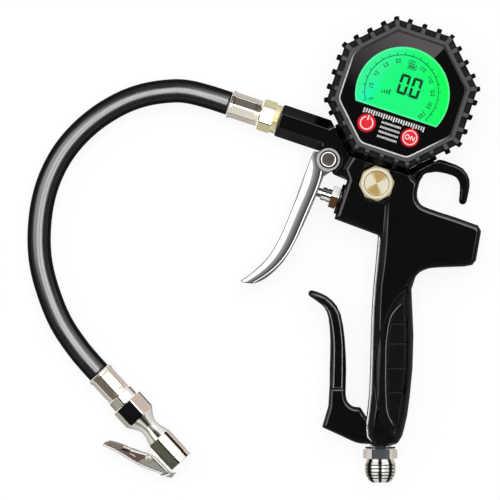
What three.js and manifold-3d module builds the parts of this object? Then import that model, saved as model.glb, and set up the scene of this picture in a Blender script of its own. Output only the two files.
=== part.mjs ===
// Tyre inflator with gauge: a pistol-grip gun with a short hose and a clip-on chuck.
// Millimetres. It lies on its side: the gauge faces +Z, the handle points to -Y, the muzzle to -X.
import * as THREE from 'three';
import { mergeVertices } from 'three/addons/utils/BufferGeometryUtils.js';
import Module from 'manifold-3d';

const wasm = await Module();
wasm.setup();

// ---------------------------------------------------------------- driving dimensions
const clearance = 0.3; // between pieces that touch
const beyond = 60; // how far a cutting tool runs past what it cuts
const slopeDegrees = 18.5; // the muzzle, gauge and valve lean by this much

const body = {
  thickness: 25, // handle, from side to side
  blockThickness: 22,
  headThickness: 17,
  lugThickness: 10.4,
  tailThickness: 25,
  footThickness: 18,
  edge: 3, // rounding of the long edges
};
const cradle = { low: 3.9, high: 5.9, overlap: 3, reach: 0.5 }; // shelf under the boot's edge
const barrel = {
  acrossFlats: 16.4,
  muzzle: [-50.9, 181.6],
  length: 36,
  boreRadius: 5.2,
  boreLength: 22,
};
const passage = { radius: 3, crossRadius: 1.8 };
const grip = { depth: 2.2, grooveWidth: 0.9, grooveDepth: 1 };

const gauge = {
  centre: [10.75, 194.25],
  faceApothem: 29.8,
  rimApothem: 31.7,
  skirtApothem: 34.8,
  ribApothem: 36.85,
  back: 0,
  front: 34,
  rimDrop: 3.4, // from the rim down to the floor between the ribs
  ribWidth: 2.2,
  ribPitch: 7.65,
  cornerTrim: 0.9, // what the ribs at the corners stay short of the eight-sided outline
  lipThickness: 2.2,
  wall: 2,
  faceThickness: 1.8,
  faceSink: 0.8, // the face sits this far below the rim
};
const display = { radius: 23.5, chord: 10.3, windowThickness: 1, thickness: 2.6 };
const button = { radius: 4.5, travel: 0.8, proud: 0.9, flange: 0.8, flangeThickness: 1 };
const buttons = {
  light: [-12.4, -19.3],
  on: [10.4, -19.5],
};
const board = { thickness: 1.6, gapBelowDisplay: 4.4, inset: 1.4 };
const battery = { radius: 5.25, length: 44.5, gap: 1 };
const stem = { radius: 4.8, boreRadius: 1.8, intoBody: 9.5, intoCase: 3, collarRadius: 6.2 };
const sensor = { radius: 5.6, length: 7 };
const coverScrew = { radius: 1.3, headRadius: 2.2, length: 3.4, headHeight: 0.9, inset: 2.6 };
const cover = { width: 48, height: 33, thickness: 1.6 };

const plug = {
  centre: [-2, 149.75],
  cornerRadius: 8.95,
  height: 4.6,
  boreRadius: 5,
  length: 10,
  dishRadius: 5.8,
  dishDepth: 0.25,
  washer: 0.9,
};
const trigger = {
  pivot: [-26, 161.75],
  eyeRadius: 6.15,
  width: 15.6,
  wall: 2.2,
  rounding: 0.5,
  leanDegrees: 20, // of the lever below its eye
};
const pin = { radius: 2, headRadius: 4, headHeight: 0.9, dishRadius: 3, ringRadius: 3.8 };
const valve = {
  face: [-19.75, 141.75], // where the rod's axis leaves the block
  faceHeight: 20.4,
  stemRadius: 2.25,
  chamberRadius: 5,
  chamberLength: 30,
  reach: 18.8, // from the block's face to the tip, just short of the trigger's web
  bossRadius: 7.7,
  bossHeight: 1.4,
  glandFlats: 11,
  glandHeight: 3.4,
  guideRadius: 3.3,
  guideLength: 5,
  glandThread: 8,
  poppetRadius: 4.2,
  poppetThickness: 3,
};
const inlet = {
  seat: 18.2, // height of the seat at the foot of the handle
  hexFlats: 15,
  hexHeight: 4.8,
  washer: 0.8,
  waist: 6.5,
  bulge: 7.7,
  tip: 4.4,
  nippleLength: 12.1,
  threadRadius: 5,
  threadLength: 12,
  boreRadius: 2.6,
  threadPitch: 1.75,
  threadHeight: 0.45,
};
const hoseSize = { diameter: 11.8 };
const nut = { flats: 14, length: 5.3, collarLength: 3.9, collarRadius: 7.2, threadLength: 14 };
const ferruleGun = { length: 15.6, radius: 6.6, flare: 7 };
const chuck = {
  start: [-140.65, 54.7],
  axisHeight: 9,
  slopeDegrees: 47.4,
  ferruleLength: 14.5,
  ferruleRadius: 6.4,
  flareRadius: 6.9,
  collarLength: 5,
  collarRadius: 7,
  hexFlats: 15.5,
  hexLength: 10.2,
  hexTurnDegrees: 14,
  neckStartRadius: 7.9,
  neckRadius: 4.5,
  neckLength: 14,
  sleeveRadius: 6.4,
  sleeveLength: 15.9,
  boreRadius: 4.2,
  boreDepth: 15,
  sealDepth: 3.6,
  sealThickness: 3.4,
  lugThickness: 3.2,
};
const clip = { pivot: 10.6, along: 48.1, width: 9, wall: 1, pinRadius: 1.2 };

// Outlines in the drawing's plane. Bars are given by stations: x, y, width and depth.
const handleStations = [
  [2.6, 19.4, 13.5, 20.8],
  [2, 23, 18, 23.4],
  [2.2, 28, 19.6, 24.8],
  [3.5, 35, 20.2, 25.8],
  [4.6, 44, 20.5, 25.8],
  [5.55, 58, 21.3, 25.8],
  [5.95, 74, 21.4, 25.8],
  [5.9, 88, 20.3, 25.8],
  [6.1, 98, 19.2, 25.8],
  [8.2, 108, 21.4, 25.8],
  [9.4, 120, 21.6, 25.8],
  [9.6, 130, 20.6, 25.8],
  [9.6, 141, 18, 25.8],
];
const gripLeft = [
  [13.2, 97.5],
  [9.75, 95.2],
  [5.75, 90],
  [2.75, 83.5],
  [0.25, 76.5],
  [-1.25, 69],
  [-2.25, 61.5],
  [-2.5, 51.5],
  [-1.75, 41.5],
  [0.25, 34],
  [3.25, 27.5],
  [6.4, 23.4],
];
const gripRight = [[8.6, 27], [10.8, 35], [12, 43], [13.1, 55], [13.5, 70], [13.2, 84], [13, 92]];
// The step between the grip's smooth margin and its raised field, and the grooves across the field.
const gripRail = [[12.4, 95], [7.25, 87], [4.5, 77.5], [3.25, 65], [3.25, 46.5], [4.5, 37], [7.4, 29]];
const gripRungs = [[80, 5.2], [70, 3.8], [57.75, 3.3], [45.75, 3.3]];
const headOutline = {
  lug: [[-30, 168.2], [-27.4, 162], [-23.5, 154.4]],
  foot: [[-5, 146], [-3, 158.8]],
  top: [-30, 176],
};
const blockOutline = {
  underside: [[-1.25, 124], [4, 112], [12, 114], [12, 150]],
  front: [-18.3, 157],
};
// Each run of points is one smooth curve, or a straight line, and the runs meet at corners.
const tailOutline = [
  [[6, 90], [12, 91]],
  [[12, 91], [14.9, 98.6], [18.4, 104.2], [22.4, 106.7], [28, 107.7], [41.5, 108.2]],
  [[41.5, 108.2], [45.9, 109]],
  [[45.9, 109], [47.75, 111.4]],
  [[47.75, 111.4], [50.3, 126]],
  [[50.3, 126], [48.7, 128.8]],
  [[48.7, 128.8], [37, 133], [30, 135.2], [24, 137.3]],
  [[24, 137.3], [20.6, 138.9], [18.7, 141.6], [18.3, 145], [19.2, 150]],
  [[19.2, 150], [14, 158]],
  [[14, 158], [1, 165]],
  [[1, 165], [-1, 141.4]],
  [[-1, 141.4], [9, 132]],
  [[9, 132], [8, 108]],
  [[8, 108], [6, 90]],
];
const guardFootOutline = [
  [[2, 19], [-6.25, 19.4]],
  [[-6.25, 19.4], [-12.25, 20.2], [-20.25, 23.8], [-29.1, 27.8]],
  [[-29.1, 27.8], [-26, 38.2]],
  [[-26, 38.2], [-25.4, 48]],
  [[-25.4, 48], [-17.4, 48]],
  [[-17.4, 48], [-17.4, 44.6]],
  [[-17.4, 44.6], [-16.8, 41.4], [-15, 39], [-12.8, 37.9], [-10, 37.7]],
  [[-10, 37.7], [2, 40.4]],
];
const guardStations = [
  [-21.5, 42, 7.9, 16],
  [-21.2, 56.5, 8.3, 16],
  [-21.4, 71.5, 7.3, 16],
  [-22.9, 83.5, 6.4, 15],
  [-26, 89.4, 5.4, 14],
  [-30.4, 92.7, 4.6, 13],
  [-34.4, 94.7, 3.4, 11],
];
const hookStations = [
  [14.8, 150.3, 9, 12],
  [20.4, 156, 4.6, 12],
  [24.6, 157.9, 5.6, 12],
  [28.5, 158.75, 6.5, 12],
  [34, 157.5, 5.9, 12],
  [39.5, 155.2, 5.7, 12],
  [42.1, 151, 5.4, 11.6],
  [42.1, 146.3, 4.6, 11],
  [41.3, 141.2, 4, 10.4],
];
const triggerFront = [
  [-33.5, 165.8],
  [-38.35, 153.2],
  [-41.85, 143.35],
  [-45.35, 134.25],
  [-48.85, 125.8],
  [-52.35, 118.8],
  [-56.6, 112.5],
  [-62.2, 106.9],
  [-66.4, 103.35],
  [-70.05, 101.25],
];
const triggerRear = [
  [-69.2, 100.4],
  [-64.3, 99.7],
  [-60.1, 100.9],
  [-55.15, 104.05],
  [-48.85, 110.4],
  [-43.95, 118.1],
  [-39.75, 126.5],
  [-35.55, 135.65],
  [-32, 144.05],
  [-28.5, 153.2],
];
// The trigger's round eye, in degrees, from its rear edge over the top to its front edge.
const eyeArc = { from: -78, to: 140, steps: 15 };
// How far down the trigger's channel is open, and past which edges its tool runs out.
const triggerChannel = { foot: 112, footStart: -40, behind: -10, above: 178 };
// The clip's side, in the chuck's frame: out from the axis, then along it.
const clipOuter = [[23.2, 27.7], [21, 33], [19.4, 38], [17.7, 44], [15.4, 50], [13.4, 54], [11.2, 58.4]];
const clipClaw = [[11.2, 58.4], [10.2, 61], [8.6, 63]];
const clipClawTip = [[8.6, 63], [5.4, 62.6]];
const clipCheek = [[5.4, 62.6], [7, 61.3], [7.6, 59.6], [7.7, 52]];
const clipInner = [
  [7.7, 52],
  [7.8, 49.6],
  [8.7, 46.8],
  [10.6, 44],
  [12.6, 40],
  [14.2, 37],
  [15.4, 34.2],
  [17.2, 31],
  [18.8, 28.5],
];
const clipThumb = [[18.8, 28.5], [21.6, 27.3], [23.2, 27.7]];
const clipHollow = [[18.8, 36], [17.6, 41], [16, 45.4], [14, 50.4], [10.2, 57.4], [0, 57.4], [0, 36]];
const clipNotch = { start: 59.5, width: 4.8 };

// Route of the hose's middle, from the gun's ferrule to the chuck's: x, y, height.
const hosePoints = [
  [-86.6, 193.4, 12.2],
  [-95.25, 195.6, 11.6],
  [-102.75, 196.25, 11],
  [-118.5, 194.15, 9.6],
  [-132.25, 188.75, 8.4],
  [-146.25, 179.25, 7.4],
  [-157.5, 167.25, 6.8],
  [-165, 154, 6.4],
  [-169.25, 140.25, 6.2],
  [-171, 124, 6.2],
  [-170.1, 109.75, 6.4],
  [-166.25, 95, 6.9],
  [-160, 80, 7.7],
  [-151.5, 67.2, 8.6],
];

// ---------------------------------------------------------------- worked out from those
const middle = body.thickness / 2;
const slope = THREE.MathUtils.degToRad(slopeDegrees);
const along = new THREE.Vector2(Math.cos(slope), -Math.sin(slope));
const across = new THREE.Vector2(Math.sin(slope), Math.cos(slope));
const cornerRatio = 1 / Math.cos(Math.PI / 8);

const saddleApothem = gauge.ribApothem + clearance + 0.2;

/** A point of the drawing, stepped along the slope and square to it. */
function step([x, y], alongBy, acrossBy) {
  return [
    x + along.x * alongBy + across.x * acrossBy,
    y + along.y * alongBy + across.y * acrossBy,
  ];
}

// ---------------------------------------------------------------- solids
/** The solid inside a closed geometry, whichever way its faces were wound. */
function solid(geometry) {
  const bare = geometry.clone();
  bare.deleteAttribute('normal');
  bare.deleteAttribute('uv');
  const merged = mergeVertices(bare, 1e-4);
  const positions = merged.getAttribute('position').array;
  const corners = [];
  let volume = 0;
  for (let i = 0; i < merged.index.count; i += 3) {
    const face = [0, 1, 2].map((k) => merged.index.getX(i + k));
    if (new Set(face).size < 3) continue;
    const [a, b, c] = face.map((v) => new THREE.Vector3().fromArray(positions, v * 3));
    volume += a.dot(b.cross(c));
    corners.push(face);
  }
  const triVerts = corners.flatMap(([a, b, c]) => (volume < 0 ? [a, c, b] : [a, b, c]));
  return new wasm.Manifold(
    new wasm.Mesh({
      numProp: 3,
      vertProperties: Float32Array.from(positions),
      triVerts: Uint32Array.from(triVerts),
    }),
  );
}

/** The geometry of a solid, for a mesh. */
function geometryOf(shape) {
  const { vertProperties, triVerts } = shape.getMesh();
  const geometry = new THREE.BufferGeometry();
  geometry.setAttribute('position', new THREE.BufferAttribute(vertProperties, 3));
  geometry.setIndex(new THREE.BufferAttribute(triVerts, 1));
  geometry.computeVertexNormals();
  return geometry;
}

function union(...shapes) {
  return shapes.reduce((whole, shape) => whole.add(shape));
}

function cut(shape, ...tools) {
  return tools.reduce((whole, tool) => whole.subtract(tool), shape);
}

/** A shape bounded by straight lines through points. */
function polygon(points) {
  return new THREE.Shape(points.map(([x, y]) => new THREE.Vector2(x, y)));
}

/** A shape bounded by runs of points: a smooth curve, or a straight line between two points. */
function smoothOutline(runs, divisions = 3) {
  const points = runs.flatMap((run) => {
    const curve = new THREE.SplineCurve(run.map(([x, y]) => new THREE.Vector2(x, y)));
    const steps = run.length === 2 ? 1 : (run.length - 1) * divisions;
    return curve.getPoints(steps).slice(0, -1);
  });
  return new THREE.Shape(points);
}

/** A flat piece between two heights, its edges rounded off. */
function slab(shape, low, high, rounding = 0, segments = 2) {
  const geometry = new THREE.ExtrudeGeometry(shape, {
    depth: high - low - 2 * rounding,
    bevelEnabled: rounding > 0,
    bevelThickness: rounding,
    bevelSize: rounding,
    bevelOffset: -rounding,
    bevelSegments: segments,
    curveSegments: 6,
  });
  geometry.translate(0, 0, low + rounding);
  return solid(geometry);
}

/** The same, centred on the gun's middle plane. */
function middleSlab(shape, thickness, rounding = 0, segments = 2) {
  return slab(shape, middle - thickness / 2, middle + thickness / 2, rounding, segments);
}

/** Turned about Y from [radius, y] pairs. The profile closes on itself or ends on the axis. */
function turned(profile, segments = 20) {
  const points = profile.map(([r, y]) => new THREE.Vector2(r, y));
  return solid(new THREE.LatheGeometry(points, segments));
}

/** A ring or tube about Y: the profile is closed for the caller. */
function turnedRing(profile, segments = 20) {
  return turned([...profile, profile[0]], segments);
}

/** A straight round rod about Y, from one height to another. */
function rod(radius, from, to, segments = 20) {
  return turned([[0, from], [radius, from], [radius, to], [0, to]], segments);
}

/** A prism about Y with a regular section, its ends chamfered. The first flat faces +Z. */
function nutBlank(sides, flats, from, to, chamfer) {
  const corner = flats / 2 / Math.cos(Math.PI / sides);
  const geometry = new THREE.CylinderGeometry(corner, corner, to - from, sides);
  geometry.rotateY(Math.PI / sides);
  geometry.translate(0, (from + to) / 2, 0);
  const envelope = turned(
    [
      [0, from],
      [corner - chamfer, from],
      [corner, from + chamfer * 0.6],
      [corner, to - chamfer * 0.6],
      [corner - chamfer, to],
      [0, to],
    ],
    24,
  );
  return solid(geometry).intersect(envelope);
}

/** A closed surface through rings with the same number of points, with flat ends. */
function loft(rings) {
  const count = rings[0].length;
  const points = rings.flat();
  const index = [];
  for (let ring = 0; ring < rings.length - 1; ring += 1) {
    for (let i = 0; i < count; i += 1) {
      const a = ring * count + i;
      const b = ring * count + ((i + 1) % count);
      index.push(a, b, b + count, a, b + count, a + count);
    }
  }
  const centreOf = (ring) =>
    ring.reduce((sum, p) => sum.add(p), new THREE.Vector3()).divideScalar(ring.length);
  const first = points.length;
  const last = first + 1;
  const end = (rings.length - 1) * count;
  for (let i = 0; i < count; i += 1) {
    const next = (i + 1) % count;
    index.push(first, next, i);
    index.push(last, end + i, end + next);
  }
  const all = [...points, centreOf(rings[0]), centreOf(rings.at(-1))];
  const geometry = new THREE.BufferGeometry().setFromPoints(all);
  geometry.setIndex(index);
  return solid(geometry);
}

/**
 * A bar that follows a curve in the drawing's plane. Each station is [x, y, width, depth];
 * the section is a rounded rectangle, squarer with a larger power. Ends can be domed.
 */
function bar(stations, { steps = 2, power = 4, points = 16, domeStart = 0, domeEnd = 0 } = {}) {
  const path = new THREE.SplineCurve(stations.map(([x, y]) => new THREE.Vector2(x, y)));
  const sizes = new THREE.SplineCurve(stations.map(([, , w, d]) => new THREE.Vector2(w, d)));
  const total = (stations.length - 1) * steps;
  const rings = [];
  const addRing = (t, shrink, shift) => {
    const centre = path.getPoint(t);
    const heading = path.getTangent(t);
    const size = sizes.getPoint(t);
    const ring = [];
    for (let i = 0; i < points; i += 1) {
      const angle = (i / points) * Math.PI * 2;
      const round = (v) => Math.sign(v) * Math.abs(v) ** (2 / power);
      const side = (round(Math.cos(angle)) * size.x * shrink) / 2;
      const up = (round(Math.sin(angle)) * size.y * shrink) / 2;
      ring.push(
        new THREE.Vector3(
          centre.x + heading.x * shift - heading.y * side,
          centre.y + heading.y * shift + heading.x * side,
          middle + up,
        ),
      );
    }
    rings.push(ring);
  };
  const domes = [70, 35].map((degrees) => THREE.MathUtils.degToRad(degrees));
  if (domeStart) domes.forEach((a) => addRing(0, Math.cos(a), -Math.sin(a) * domeStart));
  for (let i = 0; i <= total; i += 1) addRing(i / total, 1, 0);
  const endDomes = [...domes].reverse();
  if (domeEnd) endDomes.forEach((a) => addRing(1, Math.cos(a), Math.sin(a) * domeEnd));
  return loft(rings);
}

/** A regular eight-sided prism in the gauge's own frame, flats square to its axes. */
function octagon(apothem, low, high, rounding = 0) {
  const corner = apothem * cornerRatio;
  const points = [];
  for (let i = 0; i < 8; i += 1) {
    const angle = ((i + 0.5) * Math.PI) / 4;
    points.push([corner * Math.cos(angle), corner * Math.sin(angle)]);
  }
  return slab(polygon(points), low, high, rounding, 2);
}

// ---------------------------------------------------------------- groups
const assembly = new THREE.Group();

/** A group at a point of the drawing, turned about Z. */
function place(x, y, z, turn = 0) {
  const group = new THREE.Group();
  group.position.set(x, y, z);
  group.rotation.z = turn;
  assembly.add(group);
  group.updateMatrixWorld(true);
  return group;
}

const gun = place(0, 0, 0);
const gaugeFrame = place(...gauge.centre, 0, -slope);
const muzzleFrame = place(...barrel.muzzle, middle, Math.PI / 2 - slope);
const valveFrame = place(...valve.face, middle, Math.PI / 2 - slope);
const inletFrame = place(0, inlet.seat, middle, Math.PI);
const pivotFrame = place(...trigger.pivot, middle);
const plugFrame = place(...plug.centre, middle, -slope);
const chuckTurn = -Math.PI / 2 - THREE.MathUtils.degToRad(chuck.slopeDegrees);
const chuckFrame = place(...chuck.start, chuck.axisHeight, chuckTurn);

/** A solid of one group's frame as the gun sees it. */
function inGun(shape, group) {
  const geometry = geometryOf(shape);
  geometry.applyMatrix4(group.matrix);
  return solid(geometry);
}

/** A solid turned from standing on Y to standing on Z. */
function upright(shape) {
  const geometry = geometryOf(shape);
  geometry.rotateX(Math.PI / 2);
  return solid(geometry);
}

/** The same solid, moved. */
function moved(shape, x, y, z) {
  const geometry = geometryOf(shape);
  geometry.translate(x, y, z);
  return solid(geometry);
}

const paint = {
  blackSatin: { color: 0x111111, roughness: 0.34, metalness: 0 },
  blackGloss: { color: 0x060606, roughness: 0.12, metalness: 0 },
  rubber: { color: 0x1a1a1a, roughness: 0.62, metalness: 0 },
  bootGrey: { color: 0x5a5a5a, roughness: 0.7, metalness: 0 },
  hoseBlack: { color: 0x0a0a0a, roughness: 0.28, metalness: 0 },
  chrome: { color: 0xd8d8d6, roughness: 0.12, metalness: 1 },
  nickel: { color: 0xc4beb6, roughness: 0.2, metalness: 1 },
  brass: { color: 0xd9c48a, roughness: 0.22, metalness: 1 },
  steel: { color: 0x9a9a9a, roughness: 0.3, metalness: 1 },
  displayGreen: { color: 0x2af0a0, roughness: 0.4, metalness: 0 },
  buttonRed: { color: 0xc8242c, roughness: 0.35, metalness: 0 },
  boardGreen: { color: 0x1f5a34, roughness: 0.6, metalness: 0 },
  clear: { color: 0xe8f4f0, roughness: 0.05, metalness: 0, transparent: true, opacity: 0.3 },
};

function add(group, name, shape, finish) {
  const mesh = new THREE.Mesh(geometryOf(shape), new THREE.MeshStandardMaterial(paint[finish]));
  mesh.name = name;
  group.add(mesh);
  return shape;
}

// ---------------------------------------------------------------- body
/** Corners inside the saddle that the boot sits in, from the muzzle's side to the hook. */
function saddleLine() {
  const corner = (saddleApothem - 2 * body.edge) * cornerRatio;
  const at = (radius, degrees) => {
    const angle = THREE.MathUtils.degToRad(degrees);
    return step(gauge.centre, radius * Math.cos(angle), radius * Math.sin(angle));
  };
  const left = at(corner, 247.5);
  const far = at(corner, 202.5);
  const upperLeft = [0, 1].map((k) => THREE.MathUtils.lerp(left[k], far[k], 0.6));
  return { upperLeft, left, right: at(corner, 292.5) };
}

/** The handle and its stem up into the block: round edges, flat sides. */
function handleSolid() {
  const rounded = bar(handleStations, { power: 3.6, steps: 1, domeStart: 1.4, domeEnd: 4 });
  const xs = handleStations.map(([x, , width]) => [x - width, x + width]).flat();
  const [left, right] = [Math.min(...xs), Math.max(...xs)];
  const [bottom, top] = [handleStations[0][1] / 2, handleStations.at(-1)[1] * 1.2];
  const between = polygon([[left, bottom], [right, bottom], [right, top], [left, top]]);
  return rounded.intersect(middleSlab(between, body.thickness));
}

/** The grip's outline, moved in or out all round. */
function gripOutline(inset) {
  const closed = new THREE.CatmullRomCurve3(
    [...gripLeft, ...gripRight].map(([x, y]) => new THREE.Vector3(x, y, 0)),
    true,
    'centripetal',
  );
  const count = 36;
  const points = closed.getPoints(count).slice(0, -1);
  const shape = points.map((p, i) => {
    const heading = closed.getTangent(i / count);
    return [p.x - heading.y * inset, p.y + heading.x * inset];
  });
  return polygon(shape);
}

function bodySolid(handle) {
  const saddle = saddleLine();
  const brow = step(valve.face, 0, valve.faceHeight / 2);
  const chin = step(valve.face, 0, -valve.faceHeight / 2);
  const head = polygon([
    ...headOutline.lug,
    brow,
    ...headOutline.foot,
    saddle.left,
    saddle.upperLeft,
    headOutline.top,
  ]);
  const block = polygon([
    brow,
    chin,
    ...blockOutline.underside,
    saddle.right,
    saddle.left,
    blockOutline.front,
  ]);
  const barrelEnd = nutBlank(8, barrel.acrossFlats, -barrel.length, 0, 1.6);
  const lug = middleSlab(
    new THREE.Shape().absarc(...trigger.pivot, trigger.eyeRadius - 0.8, 0, Math.PI * 2),
    body.lugThickness,
  );
  return union(
    handle,
    middleSlab(head, body.headThickness, body.edge * 0.7),
    middleSlab(block, body.blockThickness, body.edge),
    middleSlab(smoothOutline(tailOutline), body.tailThickness, body.edge),
    middleSlab(smoothOutline(guardFootOutline), body.footThickness, body.edge * 0.8),
    bar(guardStations, { domeEnd: 1.7 }),
    bar(hookStations, { domeEnd: 2 }),
    lug,
    inGun(barrelEnd, muzzleFrame),
    inGun(rod(valve.bossRadius, -body.edge, valve.bossHeight, 28), valveFrame),
  );
}

/** The shelf that closes the saddle below the boot's edge, between the saddle and the skirt. */
function cradleSolid() {
  const line = (apothem) => {
    const corner = apothem * cornerRatio;
    const [far, left, right, next] = [202.5, 247.5, 292.5, 337.5].map((degrees) => {
      const angle = THREE.MathUtils.degToRad(degrees);
      return step(gauge.centre, corner * Math.cos(angle), corner * Math.sin(angle));
    });
    const between = (a, b, t) => [0, 1].map((k) => THREE.MathUtils.lerp(a[k], b[k], t));
    return [between(left, far, 0.5), left, right, between(right, next, cradle.reach)];
  };
  const outer = line(saddleApothem + cradle.overlap);
  const inner = line(gauge.skirtApothem);
  const shelf = slab(polygon([...outer, ...inner.reverse()]), cradle.low, cradle.high);
  return cut(shelf, inGun(octagon(gauge.skirtApothem + clearance, -1, gauge.front), gaugeFrame));
}

/** What is taken out of the body: bores, seats and the room for the trigger's ears. */
function bodyCuts() {
  const earRadius = trigger.eyeRadius + 0.6;
  const ears = [-1, 1].map((side) => {
    const inner = (body.lugThickness / 2) * side;
    const outer = (trigger.width / 2 + beyond) * side;
    const disc = upright(rod(earRadius, Math.min(inner, outer), Math.max(inner, outer), 20));
    return inGun(disc, pivotFrame);
  });
  const pinBore = inGun(upright(rod(pin.radius + 0.15, -beyond, beyond, 16)), pivotFrame);
  const muzzleBore = inGun(rod(barrel.boreRadius, -barrel.boreLength, 1), muzzleFrame);
  const chamber = inGun(
    rod(valve.chamberRadius, -valve.chamberLength, valve.bossHeight + 1),
    valveFrame,
  );
  const plugBore = inGun(upright(rod(plug.boreRadius, -2, beyond)), plugFrame);
  const seat = rod(plug.cornerRadius + 0.5, plugSeatHeight(), beyond);
  const plugSeat = inGun(upright(seat), plugFrame);
  const stemBore = inGun(
    moved(rod(stem.radius + clearance, gaugeStemEnd() - 0.6, -gauge.skirtApothem), 0, 0, middle),
    gaugeFrame,
  );
  const inletBore = inGun(
    rod(inlet.threadRadius + clearance, -inlet.threadLength - 1, 1),
    inletFrame,
  );
  const inletSeat = inGun(rod(inlet.hexFlats, 0, beyond), inletFrame);
  const saddle = inGun(octagon(saddleApothem, -1, gauge.front + 1), gaugeFrame);
  return [
    ...ears,
    saddle,
    pinBore,
    muzzleBore,
    chamber,
    plugBore,
    plugSeat,
    stemBore,
    inletBore,
    inletSeat,
    drill([0, inlet.seat + 8], [4.2, 133], passage.radius),
    drill(step(barrel.muzzle, barrel.boreLength - 1.4, 0.2), [-4, 147.5], passage.crossRadius),
    drill(step(plug.centre, 0, 9), step(plug.centre, 0, -13), passage.crossRadius),
  ];
}

/** A drilled passage between two points of the middle plane. */
function drill(from, to, radius) {
  const start = new THREE.Vector3(...from, middle);
  const end = new THREE.Vector3(...to, middle);
  const geometry = geometryOf(rod(radius, 0, start.distanceTo(end), 16));
  const turn = new THREE.Quaternion().setFromUnitVectors(
    new THREE.Vector3(0, 1, 0),
    end.clone().sub(start).normalize(),
  );
  geometry.applyQuaternion(turn);
  geometry.translate(...start.toArray());
  return solid(geometry);
}

function plugSeatHeight() {
  return body.blockThickness / 2 - 0.8;
}

function gaugeStemEnd() {
  return -(gauge.ribApothem + clearance + stem.intoBody);
}

const handle = handleSolid();
const wholeBody = union(cut(bodySolid(handle), ...bodyCuts()), cradleSolid());

function gripPocket(side) {
  const low = side > 0 ? body.thickness - grip.depth : -1;
  const high = side > 0 ? body.thickness + 1 : grip.depth;
  return slab(gripOutline(-clearance), low, high);
}

/** The panel on one side of the handle, flush with it, with its raised blocks. */
function gripPanel(side) {
  const gap = clearance;
  const low = side > 0 ? body.thickness - grip.depth + gap : 0.05;
  const high = side > 0 ? body.thickness - 0.05 : grip.depth - gap;
  const panel = slab(gripOutline(0), low, high).intersect(handle);
  const outer = side > 0 ? body.thickness : 0;
  const groove = (points) => {
    const depth = grip.grooveDepth;
    return slab(polygon(points), outer - depth, outer + depth);
  };
  const half = grip.grooveWidth / 2;
  const edge = Math.max(...gripRight.map(([x]) => x)) + grip.grooveWidth;
  const rungs = gripRungs.map(([y, x]) =>
    groove([[x, y - half], [edge, y - half], [edge, y + half], [x, y + half]]),
  );
  return cut(panel, ...rungs, groove(ribbon(gripRail, grip.grooveWidth)));
}

/** The outline of a band of even width along a smooth line through points. */
function ribbon(points, width, divisions = 3) {
  const curve = new THREE.SplineCurve(points.map(([x, y]) => new THREE.Vector2(x, y)));
  const count = (points.length - 1) * divisions;
  const side = (sign) =>
    Array.from({ length: count + 1 }, (_, i) => {
      const p = curve.getPoint(i / count);
      const heading = curve.getTangent(i / count);
      return [p.x - (sign * heading.y * width) / 2, p.y + (sign * heading.x * width) / 2];
    });
  return [...side(1), ...side(-1).reverse()];
}

add(gun, 'gun_body', cut(wholeBody, gripPocket(1), gripPocket(-1)), 'blackSatin');
add(gun, 'grip_insert_front', gripPanel(1), 'rubber');
add(gun, 'grip_insert_back', gripPanel(-1), 'rubber');

// ---------------------------------------------------------------- air inlet
function inletNipple() {
  const hexStart = inlet.washer + 2 * clearance;
  const hexEnd = hexStart + inlet.hexHeight;
  const hex = nutBlank(6, inlet.hexFlats, hexStart, hexEnd, 0.8);
  const profile = [[0, hexEnd - 1], [inlet.waist, hexEnd - 1], [inlet.waist, hexEnd + 0.6]];
  const start = hexEnd + 0.6;
  const ridges = Math.floor((inlet.nippleLength - 1.6) / inlet.threadPitch);
  const swell = (y) => {
    const t = (y - start) / (inlet.nippleLength - 0.6);
    const belly = Math.sin(Math.PI * Math.min(1, t * 1.05 + 0.02)) ** 0.8;
    return inlet.waist + (inlet.bulge - inlet.waist) * belly - (inlet.waist - inlet.tip) * t ** 3;
  };
  for (let i = 0; i < ridges; i += 1) {
    const root = start + i * inlet.threadPitch;
    profile.push([swell(root) - inlet.threadHeight, root + 0.2]);
    profile.push([swell(root + 0.9) + inlet.threadHeight * 0.5, root + inlet.threadPitch * 0.55]);
  }
  profile.push([inlet.tip + 0.4, hexEnd + inlet.nippleLength - 0.5]);
  profile.push([inlet.tip, hexEnd + inlet.nippleLength]);
  profile.push([0, hexEnd + inlet.nippleLength]);
  const thread = rod(inlet.threadRadius, -inlet.threadLength, hexStart + 1);
  const bore = rod(inlet.boreRadius, -inlet.threadLength - 1, hexEnd + inlet.nippleLength + 1, 24);
  return cut(union(hex, turned(profile), thread), bore);
}

add(inletFrame, 'inlet_nipple', inletNipple(), 'nickel');
add(
  inletFrame,
  'inlet_washer',
  turnedRing([
    [inlet.threadRadius + clearance, clearance],
    [inlet.hexFlats / 2, clearance],
    [inlet.hexFlats / 2, clearance + inlet.washer],
    [inlet.threadRadius + clearance, clearance + inlet.washer],
  ]),
  'rubber',
);

// ---------------------------------------------------------------- brass plug
function passagePlug() {
  const base = plugSeatHeight() + plug.washer + clearance;
  const top = base + plug.height;
  const flats = plug.cornerRadius * 2 * Math.cos(Math.PI / 8);
  const head = nutBlank(8, flats, base, top, 1.3);
  const shank = rod(plug.boreRadius - clearance, top - plug.length, base + 1);
  const dish = rod(plug.dishRadius, top - plug.dishDepth, top + 1);
  return upright(cut(union(head, shank), dish));
}

add(plugFrame, 'passage_plug', passagePlug(), 'brass');
add(
  plugFrame,
  'plug_washer',
  upright(
    turnedRing([
      [plug.boreRadius + 0.2, plugSeatHeight() + clearance],
      [plug.cornerRadius - 0.8, plugSeatHeight() + clearance],
      [plug.cornerRadius - 0.8, plugSeatHeight() + plug.washer],
      [plug.boreRadius + 0.2, plugSeatHeight() + plug.washer],
    ]),
  ),
  'rubber',
);

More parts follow.
